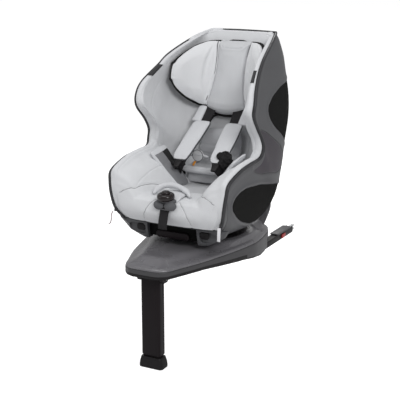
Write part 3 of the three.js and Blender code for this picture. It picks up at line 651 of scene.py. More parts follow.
def cover_relief(t, x, edge, flat):
    """padding height; t, x and edge (distance from the rim) are grids, flat their points"""
    d = np.zeros(t.shape)
    # top stitching parallel to the edge, with a fuller roll outside it
    d -= 1.5 * groove(edge - 33, 1.7) * between(t, 3.5, 20, 0.1)
    d += 1.3 * groove(edge - 18, 9) * between(t, 3.5, 20, 0.2)
    # seam across the front bolster
    seam_x = np.interp(t, *BOLSTER_SEAM.T)
    d -= 1.6 * groove(x - seam_x, 2.2) * between(t, 2.5, 5.2, 0.06)
    d += 1.6 * groove((t - 2.9) * 46, 14) * between(x, -1, 170, 10)
    # front panel seams
    seam_x = np.interp(t, [0.3, 0.65, 1.35, 2.3, 2.95, 3.6], [84, 81.5, 73.5, 61.5, 52, 40])
    d -= 1.5 * groove(x - seam_x, 1.8) * between(t, -1, 3.6, 0.08)
    # crease between seat and back
    d -= 7.0 * groove((t - 7.62) * 60, 6) * between(x, -1, 172, 6)
    # long seams up the back, beside the insert
    d -= 2.2 * groove(x - 95, 2.2) * between(t, 7.8, 14, 0.15)
    # panel seams on the side bolsters
    d -= 1.7 * groove(edge - 112, 2.0) * between(t, 3.9, 7.4, 0.1)
    d -= 1.5 * groove(edge - 96 - 8 * np.sin(t * 1.1), 2.0) * between(t, 8.2, 13.5, 0.1)
    # padding is fullest between seams, and the seat centre is sunk
    d += 2.6 * groove(x - 45, 34) * between(t, 3.7, 7.2, 0.2)
    d -= 3.5 / (1 + np.exp((x - 64) / 2.2)) * between(t, 5.45, 9.0, 0.05)
    d -= 1.6 * groove((t - 5.43) * 70, 2.4) * between(x, -1, 66, 3)
    d += 2.5 / (1 + np.exp((x - 92) / 2.2)) * between(t, 7.9, 13.5, 0.1)
    # soft unevenness away from the edge
    soft = (soft_noise(flat, 46, 2.1).reshape(t.shape) * 1.5
            + soft_noise(flat, 17, 5.3).reshape(t.shape) * 0.45)
    d += soft * np.clip(edge / 20, 0, 1)
    # small puckers along the stitched lines
    pucker = np.sin(t * 150) * 0.5 + soft_noise(flat, 6, 9.7).reshape(t.shape) * 0.8
    d += (0.32 * pucker * (groove(edge - 27, 6) + groove(edge - 40, 6))
          * between(t, 3.6, 20, 0.2))
    d += 0.45 * pucker * groove((t - 3.2) * 46, 10) * between(x, -1, 175, 6)
    return d


def build_cover():
    """makes the cover; returns the stations, half grid and normals of its finished surface"""
    stations = station_steps(0, TOP_T, 2.9)
    half = np.array([cover_half(t) for t in stations])
    normal = grid_normals(half)
    # normals point to the open side of the seat: up, at the seat centre
    if normal[int(np.argmin(abs(stations - 6))), -2][2] < 0:
        normal = -normal
    t_grid = np.repeat(stations[:, None], half.shape[1], 1)
    d = cover_relief(t_grid, half[..., 0], arc_length(half), half.reshape(-1, 3))
    half = half + normal * d[..., None]
    # edges curl under at both ends
    first = [half[0] + (0, 14, 1.5), half[0] + (0, 5, -2.6)]
    last = [half[-1] + (0, 3, 2.2), half[-1] + (0, 8, 2.6), half[-1] + (0, 13, -1.5)]
    obj = mirrored_grid("seat_cover", np.vstack([first, half, last]), COVER_CLOTH,
                        "cover_fabric")
    # the seat centre is given a darker cloth, as painted shade of the sunk seat under the back
    # insert
    paint(obj, [SEAT_SHADE_CLOTH],
          lambda c, normal: abs(c[0]) < 66 and -128 < c[1] < 60 and c[2] < 262)
    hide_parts("seat_cover_lower", "seat_cover_upper")
    return stations, half, normal


cover_t, cover_grid, cover_normals = build_cover()


def on_cover(t, x):
    """point just under the finished cover at station t and distance x from the centre"""
    i = min(len(cover_t) - 1, max(0, int(np.searchsorted(cover_t, t))))
    row = cover_grid[i]
    j = CREST_POINTS + int(np.argmin(abs(row[CREST_POINTS:, 0] - abs(x))))
    p = row[j] + cover_normals[i, j] * -0.1
    return np.array([math.copysign(p[0], x), p[1], p[2]])


def seam_cord(name, track, radius):
    points = np.array([on_cover(t, x) for t, x in curve_pts(track, 60)])
    points = resample(curve_pts(points[::4], 60), 90)
    tube(name, points, radius, GUSSET, "dark_fabric", n=6)


FRONT_PANEL_SEAM = np.array([(0.3, 84), (0.65, 81.5), (1.35, 73.5), (2.3, 60.5), (2.95, 48.5),
                             (3.7, 38.5)])
for side, sign in SIDES:
    seam_cord(f"bolster_seam_{side}", BOLSTER_SEAM * (1, sign), 0.8)
    seam_cord(f"front_panel_seam_{side}", FRONT_PANEL_SEAM * (1, sign), 0.7)


# ---------------------------------------------------------------- shell
def shell_pt(t, u, off=0.0, d0=8.0):
    """shell surface at station t, u = 0 at the rim to 1 at the centre plane; the surface
    is flattened toward depth d0 next to the rim"""
    row, depth, place = section(t, SHELL_CENTRE)
    a, b = super_quarter(u, row[9])
    d = (depth + off) * b
    if d < d0 + 14:
        d = d0 + (d - d0) * 0.5 * (1 + math.tanh((d - d0) / 6))
    return place((row[0] + FLANGE + off) * a, max(d, 0.0))


def rim_point(t, dx, depth):
    row, _, place = section(t, SHELL_CENTRE)
    return np.array(place(row[0] + dx, depth))


# Outlines set into the shell's sides: station, lower u, upper u
SIDE_OUTLINES = {
    "upper": [[10.88, .5, .6], [10.95, .44, .67], [11.06, .371, .71], [11.18, .289, .73],
              [11.5, .214, .745], [12, .182, .75], [12.46, .208, .75], [12.78, .239, .745],
              [13.1, .296, .73], [13.3, .346, .71], [13.48, .428, .67], [13.6, .5, .6]],
    "lower": [[3.95, .22, .26], [4.1, .195, .3], [4.4, .175, .37], [4.8, .17, .43],
              [5.5, .182, .48], [6.1, .2, .51], [6.7, .222, .53], [7.4, .277, .555],
              [8, .335, .575], [8.5, .39, .58], [8.8, .44, .57], [8.95, .48, .54]],
    "mid": [[6.2, .045, .085], [6.8, .04, .14], [7.4, .035, .18], [8.2, .035, .26],
            [8.8, .035, .335], [9.33, .035, .396], [9.8, .04, .45], [10.1, .055, .465],
            [10.35, .09, .45], [10.48, .15, .4], [10.55, .2, .36]]}


def closed_outline(table):
    ring = [(t, low) for t, low, high in table] + [(t, high) for t, low, high in table][::-1]
    return curve_pts(np.array(ring) * (1, 10), 160, closed=True) * (1, 0.1)


OUTLINES = {key: closed_outline(table) for key, table in SIDE_OUTLINES.items()}
# how deep each outline is sunk, and the height of the swelling round it
OUTLINE_RELIEF = (("upper", 2.2, 1.4), ("lower", 2.4, 1.8), ("mid", 1.0, 0.5))


def build_shell():
    stations = np.concatenate([[3.0], station_steps(3.02, TOP_T, 3.4)])
    across = np.linspace(0, 1, 96)
    grid = np.array([[shell_pt(t, u) for u in across] for t in stations])
    tu = np.array([(t, u) for t in stations for u in across])
    normal = grid_normals(grid)
    if normal[int(np.argmin(abs(stations - 12))), 40, 0] < 0:
        normal = -normal
    flat = grid.reshape(-1, 3)
    d = np.zeros(len(flat))
    for key, deep, lip in OUTLINE_RELIEF:
        ring = np.array([shell_pt(t, u) for t, u in OUTLINES[key]])
        distance = line_distance(flat, np.vstack([ring, ring[:1]]))
        signed = np.where(inside(tu, OUTLINES[key]), -distance, distance)
        d -= deep / (1 + np.exp(np.clip((signed - 0.4) / 0.7, -40, 40)))
        d += lip * np.exp(-((signed - 7) / 6.5) ** 2) * (signed > 0)
    # soft ridge running along the rim
    d += 1.0 * np.exp(-((arc_length(grid).reshape(-1) - 14) / 8) ** 2)
    # long grooves down the back
    x = flat[:, 0]
    on_back = (tu[:, 0] > 9.5) * (tu[:, 0] < 16.2) * (tu[:, 1] > 0.6)
    d += -1.3 * (groove(x - 62, 2.5) + groove(x - 104, 2.5)) * on_back
    grid = (flat + normal.reshape(-1, 3) * d[:, None]).reshape(grid.shape)
    # lip that turns in under the trim
    lip = [[rim_point(t, dx, depth) for dx, depth in ((-1.5, 5.0), (1.8, 4.4), (FLANGE, 5.6))]
           for t in stations]
    grid = np.concatenate([np.array(lip), grid], 1)
    first = grid[0] + (0, 5, 3)
    first[:, 0] *= 0.985
    last = grid[-1] + (0, -6, -1.5)
    last[:, 0] *= 0.97
    grid = np.concatenate([first[None], grid, last[None]], 0)
    obj = mirrored_grid("shell_skin", grid, SHELL, "shell_plastic", sharp=50)
    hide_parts("seat_shell")


def side_patch(key, sign, material, slot, node):
    """skin filling one outline on the shell's side"""
    outline = OUTLINES[key]
    centre = outline.mean(0)
    # (scale of the outline, offset from the shell)
    steps = ((1.0, -1.6), (0.985, -0.7), (0.955, -0.35), (0.86, -0.2), (0.7, -0.1),
             (0.5, 0.0), (0.3, 0.0), (0.12, 0.0))
    verts = [shell_pt(*(centre + (p - centre) * scale), off=off - 0.4)
             for scale, off in steps for p in outline]
    verts.append(shell_pt(*centre, off=-0.4))
    n = len(outline)
    k = (len(steps) - 1) * n
    faces = grid_faces(len(steps), n, close_v=True)
    faces += [(k + i, k + (i + 1) % n, k + n) for i in range(n)]
    obj = make(f"{node}_skin", np.array(verts) * (sign, 1, 1), faces, material, slot)
    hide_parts(node)


build_shell()
for side, sign in SIDES:
    side_patch("upper", sign, INSERT_MESH, "black_plastic", f"side_insert_upper_{side}")
    side_patch("lower", sign, INSERT_MESH, "black_plastic", f"side_insert_lower_{side}")
    side_patch("mid", sign, PANEL, "panel_plastic", f"side_panel_{side}")

# shadow gaps around the set-in panels
for key, radius in (("mid", 0.9), ("upper", 0.7), ("lower", 0.7)):
    for side, sign in SIDES:
        centre = OUTLINES[key].mean(0)
        points = [shell_pt(*(centre + (p - centre) * 1.004), off=-0.5) for p in OUTLINES[key]]
        tube(f"gap_{key}_{side}", np.array(points) * (sign, 1, 1), radius, PIPING,
             "black_plastic", closed=True, n=6)
# flanks of the shell beside the front of the cover
for side, sign in SIDES:
    flank = np.array([[shell_pt(t, u * (0.45 + 0.55 * min(1, t / 2.2)), off=-0.6, d0=6)
                       for u in np.linspace(0, 0.46, 26)] for t in np.linspace(0.15, 3.06, 50)])
    grid_obj(f"shell_flank_{side}", flank * (sign, 1, 1), SHELL, "shell_plastic")


# ---------------------------------------------------------------- rim trim and piping
def rim_path(dx, depth):
    """path up the right rim, over the top and down the left"""
    right = np.array([rim_point(t, dx, depth) for t in np.linspace(0.0, TOP_T, 170)])
    x, y, z = right[-1]
    top = [(x * k, y + (1 - k * k) * 5.0, z + 1.2 + (1 - k * k) * 1.6)
           for k in np.cos(np.linspace(0.12, math.pi - 0.12, 30))]
    return resample(np.vstack([right, np.array(top), (right * (-1, 1, 1))[::-1]]), 520)


trim = tube("rim_trim_cord", rim_path(5.2, 4.6), 4.5, RIM, "piping", n=14)
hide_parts("rim_trim")
tube("rim_piping", rim_path(0.8, 1.4), 2.3, PIPING, "piping", n=12)
# the fabric edge along the lower front
hem = cover_half(0.0)
hem = np.vstack([hem * (-1, 1, 1), hem[::-1][1:]])
tube("front_hem_piping", resample(hem + (0, 1.5, -1.0), 240), 2.2, PIPING, "piping")

# ---------------------------------------------------------------- headrest
# The headrest and the seat back lean: BACK_UP runs up them, BACK_OUT out of their front.
BACK_UP = np.array([0, 0.3061, 0.9520])
BACK_OUT = np.array([0, -0.9520, 0.3061])
HEAD_ORIGIN = np.array([0, 179.6, 468.0])


def head_pt(x, h, d):
    """point at x, height h up the headrest and distance d in front of it"""
    return np.array([x, 0, 0]) + HEAD_ORIGIN + BACK_UP * h + BACK_OUT * d


def head_coords(points):
    q = points - HEAD_ORIGIN
    return points[:, 0], q @ BACK_UP, q @ BACK_OUT


def pad_half(h):
    """half-width of the waisted centre pad"""
    return np.interp(h, [-10, 20, 50, 110, 160, 215], [76, 68, 61, 53, 54, 60])


# Wing rings from inner to outer edge: front x, front d, back x, back d, lowest h, highest h
WING = np.array([[49, 33, 49, 13, -4, 212], [60, 45, 64, 13.5, -7, 214],
                 [88, 66, 98, 24, -4, 208], [116, 98, 126, 60, 6, 184],
                 [140, 138, 146, 112, 27, 142], [151, 160, 155, 154, 54, 106]], float)


def wing_ring(a):
    front_x, front_d, back_x, back_d, h0, h1 = spline(WING, a * (len(WING) - 1))
    mid = (h0 + h1) / 2
    front, back = head_pt(front_x, mid, front_d), head_pt(back_x, mid, max(back_d, 13.2))
    return (front + back) / 2, BACK_UP * ((h1 - h0) / 2), (front - back) / 2, 2.3 + 1.2 * (1 - a)


def squash_wing(obj, sign):
    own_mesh(obj)


def wing_hold(points):
    x, h, d = head_coords(points)
    return np.clip(np.maximum(1 - (abs(x) - 60) / 14, (22 - d) / 8), 0, 1)


def wing_seam(points):
    x, h, d = head_coords(points)
    front = 1 / (1 + np.exp(-(d - 24) / 3))
    return -1.1 * groove(abs(x) - pad_half(h) - 9, 1.6) * front


def build_wing(side, sign):
    obj = pillow(f"headrest_wing_pad_{side}", wing_ring, 60, HEAD_CLOTH, body=None, around=96,
                 caps=((0.95, 1.6), (0.82, 3.4), (0.6, 5.0), (0.3, 6.0), (0.1, 6.2)))
    # the inner edge follows the waisted centre pad
    for v in obj.data.vertices:
        x, h, d = head_coords(to_mm(v.co)[None])
        share = max(0.0, 1 - (x[0] - 45) / 60)
        v.co.x += (float(pad_half(h[0])) - 54) * share * 0.001
    if sign < 0:
        mirror(obj)
    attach(obj, "headrest")
    puff(obj, cap=5.0, hold=wing_hold, pressure=3.5, seed=3.0 + sign)
    relief(obj, wing_seam)
    subdivide(obj)
    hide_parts(f"headrest_wing_{side}")
    squash_wing(obj, sign)


for side, sign in SIDES:
    build_wing(side, sign)


def sagged(h, k):
    """height h lowered toward the middle (k = 0) near the bottom edge"""
    return h - 17.0 * max(0.0, 1 - k * k) * min(1, max(0, (40 - h) / 50))


def centre_ring(h):
    full = float(np.interp(h, [-17, -12, -4, 8, 50, 110, 160, 198, 208, 215, 219],
                           [.22, .55, .80, .93, 1, 1, 1, .92, .76, .5, .22]))
    w = float(pad_half(h)) + 1.0
    if h < -10:
        w -= (-10 - h) * 0.6
    front = [head_pt(k * w, sagged(h, k), 14 + (42 * full) * (1 - 0.36 * abs(k) ** 2.2)
                     * (1 - abs(k) ** 24) ** 0.5) for k in np.linspace(-1, 1, 60)]
    return front + [head_pt(k * w, sagged(h, k), 12.9) for k in np.linspace(0.97, -0.97, 22)]


def centre_hold(points):
    x, h, d = head_coords(points)
    return np.clip(np.maximum(1 - (pad_half(h) - abs(x)) / 8, (20 - d) / 6), 0, 1)


def centre_relief(points):
    x, h, d = head_coords(points)
    front = 1 / (1 + np.exp(-(d - 30) / 3))
    # stitched arc near the top
    arc = curve_pts([(-44, 216), (-43, 200), (-37, 191), (-26, 187), (0, 186), (26, 187),
                     (37, 191), (43, 200), (44, 216)], 60)
    q = np.stack([x, h], 1)
    distance = np.min(np.linalg.norm(q[:, None, :] - arc[None], axis=2), axis=1)
    r = -1.9 * groove(distance, 1.8) * front + 1.1 * groove(distance - 5, 3.4) * front
    r += -1.6 * groove(abs(x) - pad_half(h) + 1, 3.0) * front
    # gentle hollow for the head
    r += -2.6 * groove(x, 30) * groove(h - 95, 46) * front
    return r


heights = np.concatenate([np.linspace(-17, -4, 8), np.linspace(0, 198, 66),
                          np.linspace(201, 219, 10)])
obj = rings_obj("headrest_centre_cushion", [centre_ring(h) for h in heights],
                HEAD_CENTRE_CLOTH, "cover_fabric", body="headrest")
puff(obj, cap=3.5, hold=centre_hold, seed=8.0)
relief(obj, centre_relief)
subdivide(obj)
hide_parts("headrest_centre_pad")
# piping between the centre and each wing
for side, sign in SIDES:
    points = [head_pt(sign * (float(pad_half(h)) + 2.6), h, 13 + 27.5 * np.interp(
        h, [-17, -4, 8, 200, 214], [.3, .82, 1, 1, .72])) for h in np.linspace(-10, 213, 74)]
    tube(f"headrest_piping_{side}", points, 1.35, GUSSET, "dark_fabric", body="headrest")


def wing_backing_shadow_ring(a):
    """black backing that shows as a thin line around the wing, and paints the shadow in the gap
    round it
    """
    centre, half_1, half_2, _ = wing_ring(a)
    size = np.linalg.norm(half_2)
    unit = half_2 / size
    return (centre - unit * (size - 5.0) + np.array([3.5 * a, 0, 0]),
            half_1 * (1 + 6.5 / np.linalg.norm(half_1)), unit * 4.0, 2.6)


for side, sign in SIDES:
    obj = pillow(f"headrest_backing_and_gap_shadow_{side}", wing_backing_shadow_ring, 48, KNIT, body=None, around=72,
                 caps=((0.97, 4.0), (0.86, 6.2), (0.5, 7.0)))
    if sign < 0:
        mirror(obj)
    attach(obj, "headrest")
    squash_wing(obj, sign)
# the same black backing behind the centre pad, also painting the gap shadow at its edges
edge = [(k, 21.0) for k in np.linspace(-1, 1, 20)] + [(k, 13.4) for k in np.linspace(1, -1, 20)]
rings = [[head_pt(k * (float(pad_half(h)) + 2), sagged(h, k) - (3 if h < 0 else 0), d)
          for k, d in edge]
         for h in np.concatenate([np.linspace(-20, 60, 12), np.linspace(80, 214, 12)])]
rings_obj("headrest_backing_and_gap_shadow_centre", rings, KNIT, "dark_fabric", body="headrest")

# ---------------------------------------------------------------- back insert
# Lumbar rings: z, distance from the back, thickness, half-width
LUMBAR = [[268, 24, 4, 58], [276, 21, 12, 68], [284, 19, 18, 72], [304, 16, 25, 76],
          [328, 15, 26, 76], [352, 15, 24, 74], [374, 15, 17, 68], [390, 15, 5, 56]]


def lumbar_ring(a):
    z, d, thick, w = spline(LUMBAR, a * (len(LUMBAR) - 1))
    thick = max(thick, 4)
    out = d + thick / 2
    back_y = 258 - 0.3215 * (712 - z)
    centre = np.array([0, back_y + BACK_OUT[1] * out, z + BACK_OUT[2] * out])
    return centre, np.array([w, 0, 0]), BACK_OUT * thick / 2, 3.4


def lumbar_relief(points):
    x, z = points[:, 0], points[:, 2]
    return (-2.2 * (groove(z - 318, 2.4) + groove(z - 346, 2.4)) + 0.9 * groove(z - 332, 9)
            + 0.3 * np.sin(x * 0.9) * (groove(z - 322, 4) + groove(z - 342, 4)))


obj = pillow("lumbar_cushion", lumbar_ring, 46, INSERT_CLOTH, "cover_fabric", around=84,
             caps=((0.95, 0.8), (0.8, 1.4), (0.5, 1.6), (0.15, 1.6)))
puff(obj, cap=5.0, hold=lambda P: np.clip((abs(P[:, 0]) - 66) / 8, 0, 1) * 0.8, seed=11.0)
relief(obj, lumbar_relief)
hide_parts("lumbar_insert")

# lower block with a flat front face; its profile is (y, z)
profile = curve_pts([(94, 236), (40, 234), (9, 236), (6, 246), (7, 262), (12, 280), (40, 292),
                     (70, 298), (94, 304)], 50)
rings = []
for x in np.linspace(-84, 84, 40):
    k = max(0.3, (1 - (abs(x) / 84.5) ** 12) ** 0.5)
    rings.append([(x, 60 + (y - 60) * k, 268 + (z - 268) * k) for y, z in profile])
# the darker seat cloth on the block is painted shade on its face under the band
obj = rings_obj("insert_lower_block", rings, SEAT_SHADE_CLOTH, "cover_fabric")
roughen(obj, 24, 3.3, 1.0)


def soft_power(v):
    """squares off a circle's cosine or sine"""
    return math.copysign(abs(v) ** 0.72, v)


# rolled band along the block's top edge
rings = []
for x in np.linspace(-91, 91, 80):
    k = max(0.15, (1 - min(1.0, abs(x) / 91.5) ** 9) ** 0.5)
    rings.append([(x, 7 + 13 * k * soft_power(math.cos(a)) - 2.5 * math.cos(x / 58),
                   279 + 11 * k * soft_power(math.sin(a))) for a in angles(32)])
obj = rings_obj("insert_band", rings, PAD_CLOTH, "cover_fabric")
relief(obj, lambda P: -1.6 * groove(P[:, 2] - 284, 1.4) * (P[:, 1] < 2)
       + soft_noise(P, 20, 8.3) * 0.9)

# ---------------------------------------------------------------- hip pads
# Rings from bottom to top: x, y, z, normal's inward and upward parts, half-width, half-thickness
HIP = np.array([[60, -43, 236, .77, .637, 33, 4], [66, -43.5, 244, .77, .637, 37, 6],
                [86, -45.5, 268, .77, .637, 40, 6.5], [107, -47.5, 294, .77, .637, 43, 6.5],
                [128, -49.5, 320, .77, .637, 45, 6.5], [144, -51.5, 340, .80, .6, 46, 6],
                [150, -52, 348, .85, .52, 44, 4.5]], float)
HIP_ACROSS = np.array([0.02, 0.99, 0.12])
# pile of knit cloth over each tongue: half-sizes, then centre
TONGUE_SLEEVE = {"right": (26, 15, 27, 92, -42, 333), "left": (16, 13, 15, -86, -42, 305)}


def hip_ring(a, sign):
    x, y, z, inward, upward, w, thick = spline(HIP, a * (len(HIP) - 1))
    normal = np.array([-inward * sign, 0, upward])
    normal /= np.linalg.norm(normal)
    tilt = min(1.0, a * 1.4)
    across = np.array([-sign * HIP_ACROSS[0] * tilt, HIP_ACROSS[1], HIP_ACROSS[2] * tilt])
    across /= np.linalg.norm(across)
    return np.array([x * sign, y, z]), across * w, normal * thick, 4.0


def hip_material(c, normal, sign):
    """darker inner face as painted shade inside a pale edge, charcoal toward its upper rear corner
    """
    v = (c[1] + 43 + 0.08 * (c[2] - 237)) / (35 + 0.09 * (c[2] - 237))
    up = c[2] - 0.12 * (c[1] + 47)
    if not (normal.x * sign < -0.3 and abs(v) < 0.90 and up < 342):
        return 0
    return 2 if (v > 0.05 and up > 306) or (v > 0.62 and up > 270) else 1


def tongue_sleeve(side):
    rx, ry, rz, cx, cy, cz = TONGUE_SLEEVE[side]
    rings = []
    for i in range(25):
        ph = math.pi * (i + 0.5) / 25
        r = math.sin(ph) ** 0.7
        rings.append([(cx + rx * r * math.cos(q) * (1 + 0.10 * math.sin(5 * q + 3 * ph)),
                       cy + ry * r * math.sin(q),
                       cz + rz * math.cos(ph) * (1 + 0.12 * math.cos(4 * q)))
                      for q in angles(60)])
    obj = rings_obj(f"tongue_sleeve_{side}", rings, KNIT, "dark_fabric")
    relief(obj, lambda P: 3.2 * np.sin(soft_noise(P, 15, 2.7) * 7) + soft_noise(P, 6, 1.2) * 1.3)


for side, sign in SIDES:
    obj = pillow(f"hip_bolster_{side}", lambda a: hip_ring(a, sign), 60, PAD_CLOTH,
                 "dark_fabric", around=72, caps=((0.92, 1.6), (0.76, 3.0), (0.5, 3.8), (0.15, 4.2)))
    puff(obj, cap=3.0, seed=15.0 + sign)
    relief(obj, lambda P: -1.0 * groove(P[:, 2] - 316 - 0.3 * (P[:, 1] + 45), 1.6))
    subdivide(obj)
    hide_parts(f"hip_pad_{side}")
    # inward faces painted darker as painted shade; the upper rear corner in real charcoal knit
    paint(obj, [FLAP_SHADE_CLOTH, KNIT], lambda c, normal: hip_material(c, normal, sign))
    tongue_sleeve(side)

# ---------------------------------------------------------------- shoulder pads
SHOULDER_START = np.array([0, 104, 417])
SHOULDER_DOWN = np.array([0, -0.832, -0.555])
SHOULDER_OUT = np.array([0, -0.555, 0.832])


def shoulder_width(a):
    return np.interp(a, [0, .03, .08, .4, .65, .9, .97, 1], [24, 28, 30.5, 31, 29, 28, 26, 21])


def shoulder_ring(a, sign):
    thick = np.interp(a, [0, .05, .2, .8, .95, 1], [4.5, 7.0, 8.0, 7.8, 6.8, 4.5])
    centre = (np.array([59 + 9 * a, 104, 417]) + SHOULDER_DOWN * (a * 180)
              + SHOULDER_OUT * (1.6 + thick))
    return centre * (sign, 1, 1), np.array([shoulder_width(a), 0, 0]), SHOULDER_OUT * thick, 5.0


def shoulder_hold(points):
    return np.clip(1 - ((points - SHOULDER_START) @ SHOULDER_OUT - 5.5) / 3, 0, 1)


def shoulder_stitching(points):
    q = points - SHOULDER_START
    along = q @ SHOULDER_DOWN
    centre_x = np.interp(along, [0, 170], [59, 68])
    edge = shoulder_width(along / 170) - abs(abs(points[:, 0]) - centre_x)
    return -0.9 * groove(edge - 4.6, 1.3) * (q @ SHOULDER_OUT > 10)


def shoulder_shade_wall(c, normal):
    """true on the side walls, which take the dark gusset cloth, partly as painted shade of the
    pads' sides
    """
    out = (c - SHOULDER_START) @ SHOULDER_OUT
    return out < 13.2 and (abs(normal.x) > 0.55 or out < 9)


def neck_ring(a, sign):
    """padded neck beside the webbing, running up under the headrest"""
    return (np.array([sign * (86 - 3 * a), 98 + 46 * a, 424 + 40 * a]),
            np.array([17 - 2 * a, 0, 0]), np.array([0, -0.66, 0.75]) * 6.5, 2.6)


for side, sign in SIDES:
    obj = pillow(f"shoulder_cushion_{side}", lambda a: shoulder_ring(a, sign), 64, PAD_CLOTH,
                 "pad_fabric", body=f"shoulder_pad_{side[0]}", around=80,
                 caps=((0.95, 1.0), (0.85, 1.9), (0.6, 2.6), (0.2, 2.8)))
    puff(obj, cap=3.2, hold=shoulder_hold, seed=21.0 + sign)
    relief(obj, shoulder_stitching)
    subdivide(obj)
    # dark side walls: gusset cloth that also paints the shade on the pads' sides
    paint(obj, [GUSSET], shoulder_shade_wall)
    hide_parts(f"shoulder_pad_{side}")
    pillow(f"strap_neck_{side}", lambda a: neck_ring(a, sign), 24, PAD_CLOTH, "pad_fabric",
           around=48)


# ---------------------------------------------------------------- crotch pad
def crotch_ring(a):
    y = -254 + a * 100
    z = np.interp(y, [-254, -236, -200, -154], [236, 242, 242, 241])
    thick = np.interp(a, [0, .15, .8, 1], [3.0, 5.6, 5.6, 3.0])
    w = np.interp(a, [0, .1, .5, .9, 1], [34, 40, 38, 33, 24])
    return np.array([0, y, z + thick]), np.array([w, 0, 0]), np.array([0, 0, thick]), 3.0


def crotch_stitching(points):
    x, y, z = points.T
    return -1.0 * groove(np.hypot(x, np.minimum(0, y + 215)) - 28, 1.6) * (z > 246)


obj = pillow("crotch_cushion", crotch_ring, 36, PAD_CLOTH, "pad_fabric", around=64)
puff(obj, cap=4.0, hold=lambda P: np.clip(1 - (P[:, 2] - 242) / 3, 0, 1), seed=31.0)
relief(obj, crotch_stitching)
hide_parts("crotch_pad")
# soft cup the buckle stands in, with a lobe each side of the adjuster webbing
for k, (cx, cy, cz, rx, ry, rz) in enumerate((
        (-19, -268, 226, 20, 15, 15), (19, -268, 226, 20, 15, 15), (0, -256, 240, 34, 23, 7.5))):
    rings = [[(cx + rx * math.sin(ph) * math.cos(q), cy + ry * math.sin(ph) * math.sin(q),
               cz + rz * math.cos(ph)) for q in angles(36)]
             for ph in (math.pi * (i + 0.5) / 13 for i in range(13))]
    obj = rings_obj(f"buckle_cup_{k}", rings, GUSSET, "dark_fabric")
    roughen(obj, 14, 4.4, 1.2)
# raised padded roll curving behind the buckle
points = curve_pts([(-66, -224, 247), (-62, -204, 258), (-46, -187, 267), (-18, -181, 269),
                    (14, -186, 264), (40, -198, 257), (60, -216, 248)], 90)
radii = np.interp(np.linspace(0, 1, 90), [0, .15, .8, 1], [4, 10.5, 10, 4])
obj = tube("crotch_roll", points, radii, PAD_CLOTH, "pad_fabric", n=24, flat=0.85)
roughen(obj, 18, 6.4, 0.8)

# ---------------------------------------------------------------- webbing straps
HARNESS = np.array([[56, 161, 436], [57, 140, 435], [58, 110, 421], [61, 40, 374.5],
                    [64, -20, 334.5], [66, -44, 318.5], [71, -49, 306], [80, -38, 290],
                    [88, -14, 280], [92, 10, 274], [94, 34, 270]])
HARNESS_SIDES = np.array([[1, 0, 0]] * 6 + [[0.95, 0.1, 0.3], [0.7, 0.2, 0.6], [0.4, 0.2, 0.9],
                                            [0.2, 0.2, 1], [0.1, 0.2, 1]])
# strip under the shoulder pad, up to the slot below the headrest
BACKING = np.array([[53, 150, 470], [55, 132, 450], [57.5, 116, 436], [60, 80, 405],
                    [63, 20, 365]])
for side, sign in SIDES:
    obj = strap(f"harness_strap_{side}", HARNESS * (sign, 1, 1), 18.5, 2.2,
                HARNESS_SIDES * (1, sign, sign))
    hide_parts(f"harness_webbing_{side}")
    strap(f"harness_backing_{side}", BACKING * (sign, 1, 1) + (0, -1.0, 2.2),
          [22, 22, 22, 22, 20], 1.6, [[1, 0, 0]] * 5)
obj = strap("adjuster_strap", [[0, -269.5, 211], [0, -272.5, 204], [0, -276.5, 192],
                               [0, -281, 178], [0, -284, 166], [0, -283.5, 154]],
            15.5, 2.2, [[1, 0, 0]] * 6)
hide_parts("adjuster_webbing")


# ---------------------------------------------------------------- bevelled frame pieces
def refine(node, bevel, material):
    """copy of a frame piece with its edges rounded by bevel mm"""
    source = frame["nodes"][node]
    me = source.data.copy()
    obj = bpy.data.objects.new(f"{node}_finished", me)
    bpy.context.scene.collection.objects.link(obj)
    bm = bmesh.new()
    bm.from_mesh(me)
    bmesh.ops.remove_doubles(bm, verts=bm.verts, dist=1e-5)
    bmesh.ops.dissolve_limit(bm, angle_limit=math.radians(1.5), verts=bm.verts, edges=bm.edges)
    bmesh.ops.recalc_face_normals(bm, faces=bm.faces)
    edges = [e for e in bm.edges
             if len(e.link_faces) == 2 and e.calc_face_angle(0) > math.radians(28)]
    if edges:
        bmesh.ops.bevel(bm, geom=edges, offset=bevel * 0.001, offset_type='OFFSET', segments=3,
                        profile=0.5, affect='EDGES', clamp_overlap=True)
    bm.to_mesh(me)
    bm.free()
    me.materials.clear()
    me.materials.append(material)
    me.shade_smooth()
    me.set_sharp_from_angle(angle=math.radians(42))
    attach(obj, source["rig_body"])
    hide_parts(node)
    return obj


for side in ("left", "right"):
    block = refine(f"front_block_{side}", 3.0, SHELL)
    # the block's outer side is widened and its lower part dropped
    for v in block.data.vertices:
        share = min(1.0, max(0.0, (abs(v.co.x) * 1000 - 112) / 24))
        v.co.x += math.copysign(0.030 * share, v.co.x)
        if v.co.z < 0.125:
            v.co.z -= 0.008
    refine(f"rotation_button_{side}", 1.4, BLACK)
    refine(f"anchor_arm_{side}", 2.4, BLACK)
    refine(f"anchor_arm_cover_{side}", 1.4, SHELL)
    refine(f"anchor_jaw_{side}", 1.0, STEEL)
    refine(f"anchor_release_{side}", 1.0, RED)
    refine(f"harness_tongue_{side}", 1.2, BLACK)
for node, bevel, material in (
        ("front_centre_panel", 1.2, PANEL_SHADE_BLACK), ("recline_handle", 2.4, LEG),
        ("harness_release_button", 1.6, BLACK), ("headrest_frame", 1.6, BLACK),
        ("headrest_handle", 1.8, BLACK)):
    refine(node, bevel, material)
disc = refine("tongue_holder_disc", 1.6, LIGHT)
disc.data.transform(Matrix.Translation((0, -0.014, -0.004)))
tube("holder_rim", [(-45 + 19.4 * math.cos(a), 29.6, 321 + 19.4 * math.sin(a))
                    for a in angles(48)],
     1.0, GUSSET, "dark_fabric", closed=True, n=8, up=(0, 1, 0))
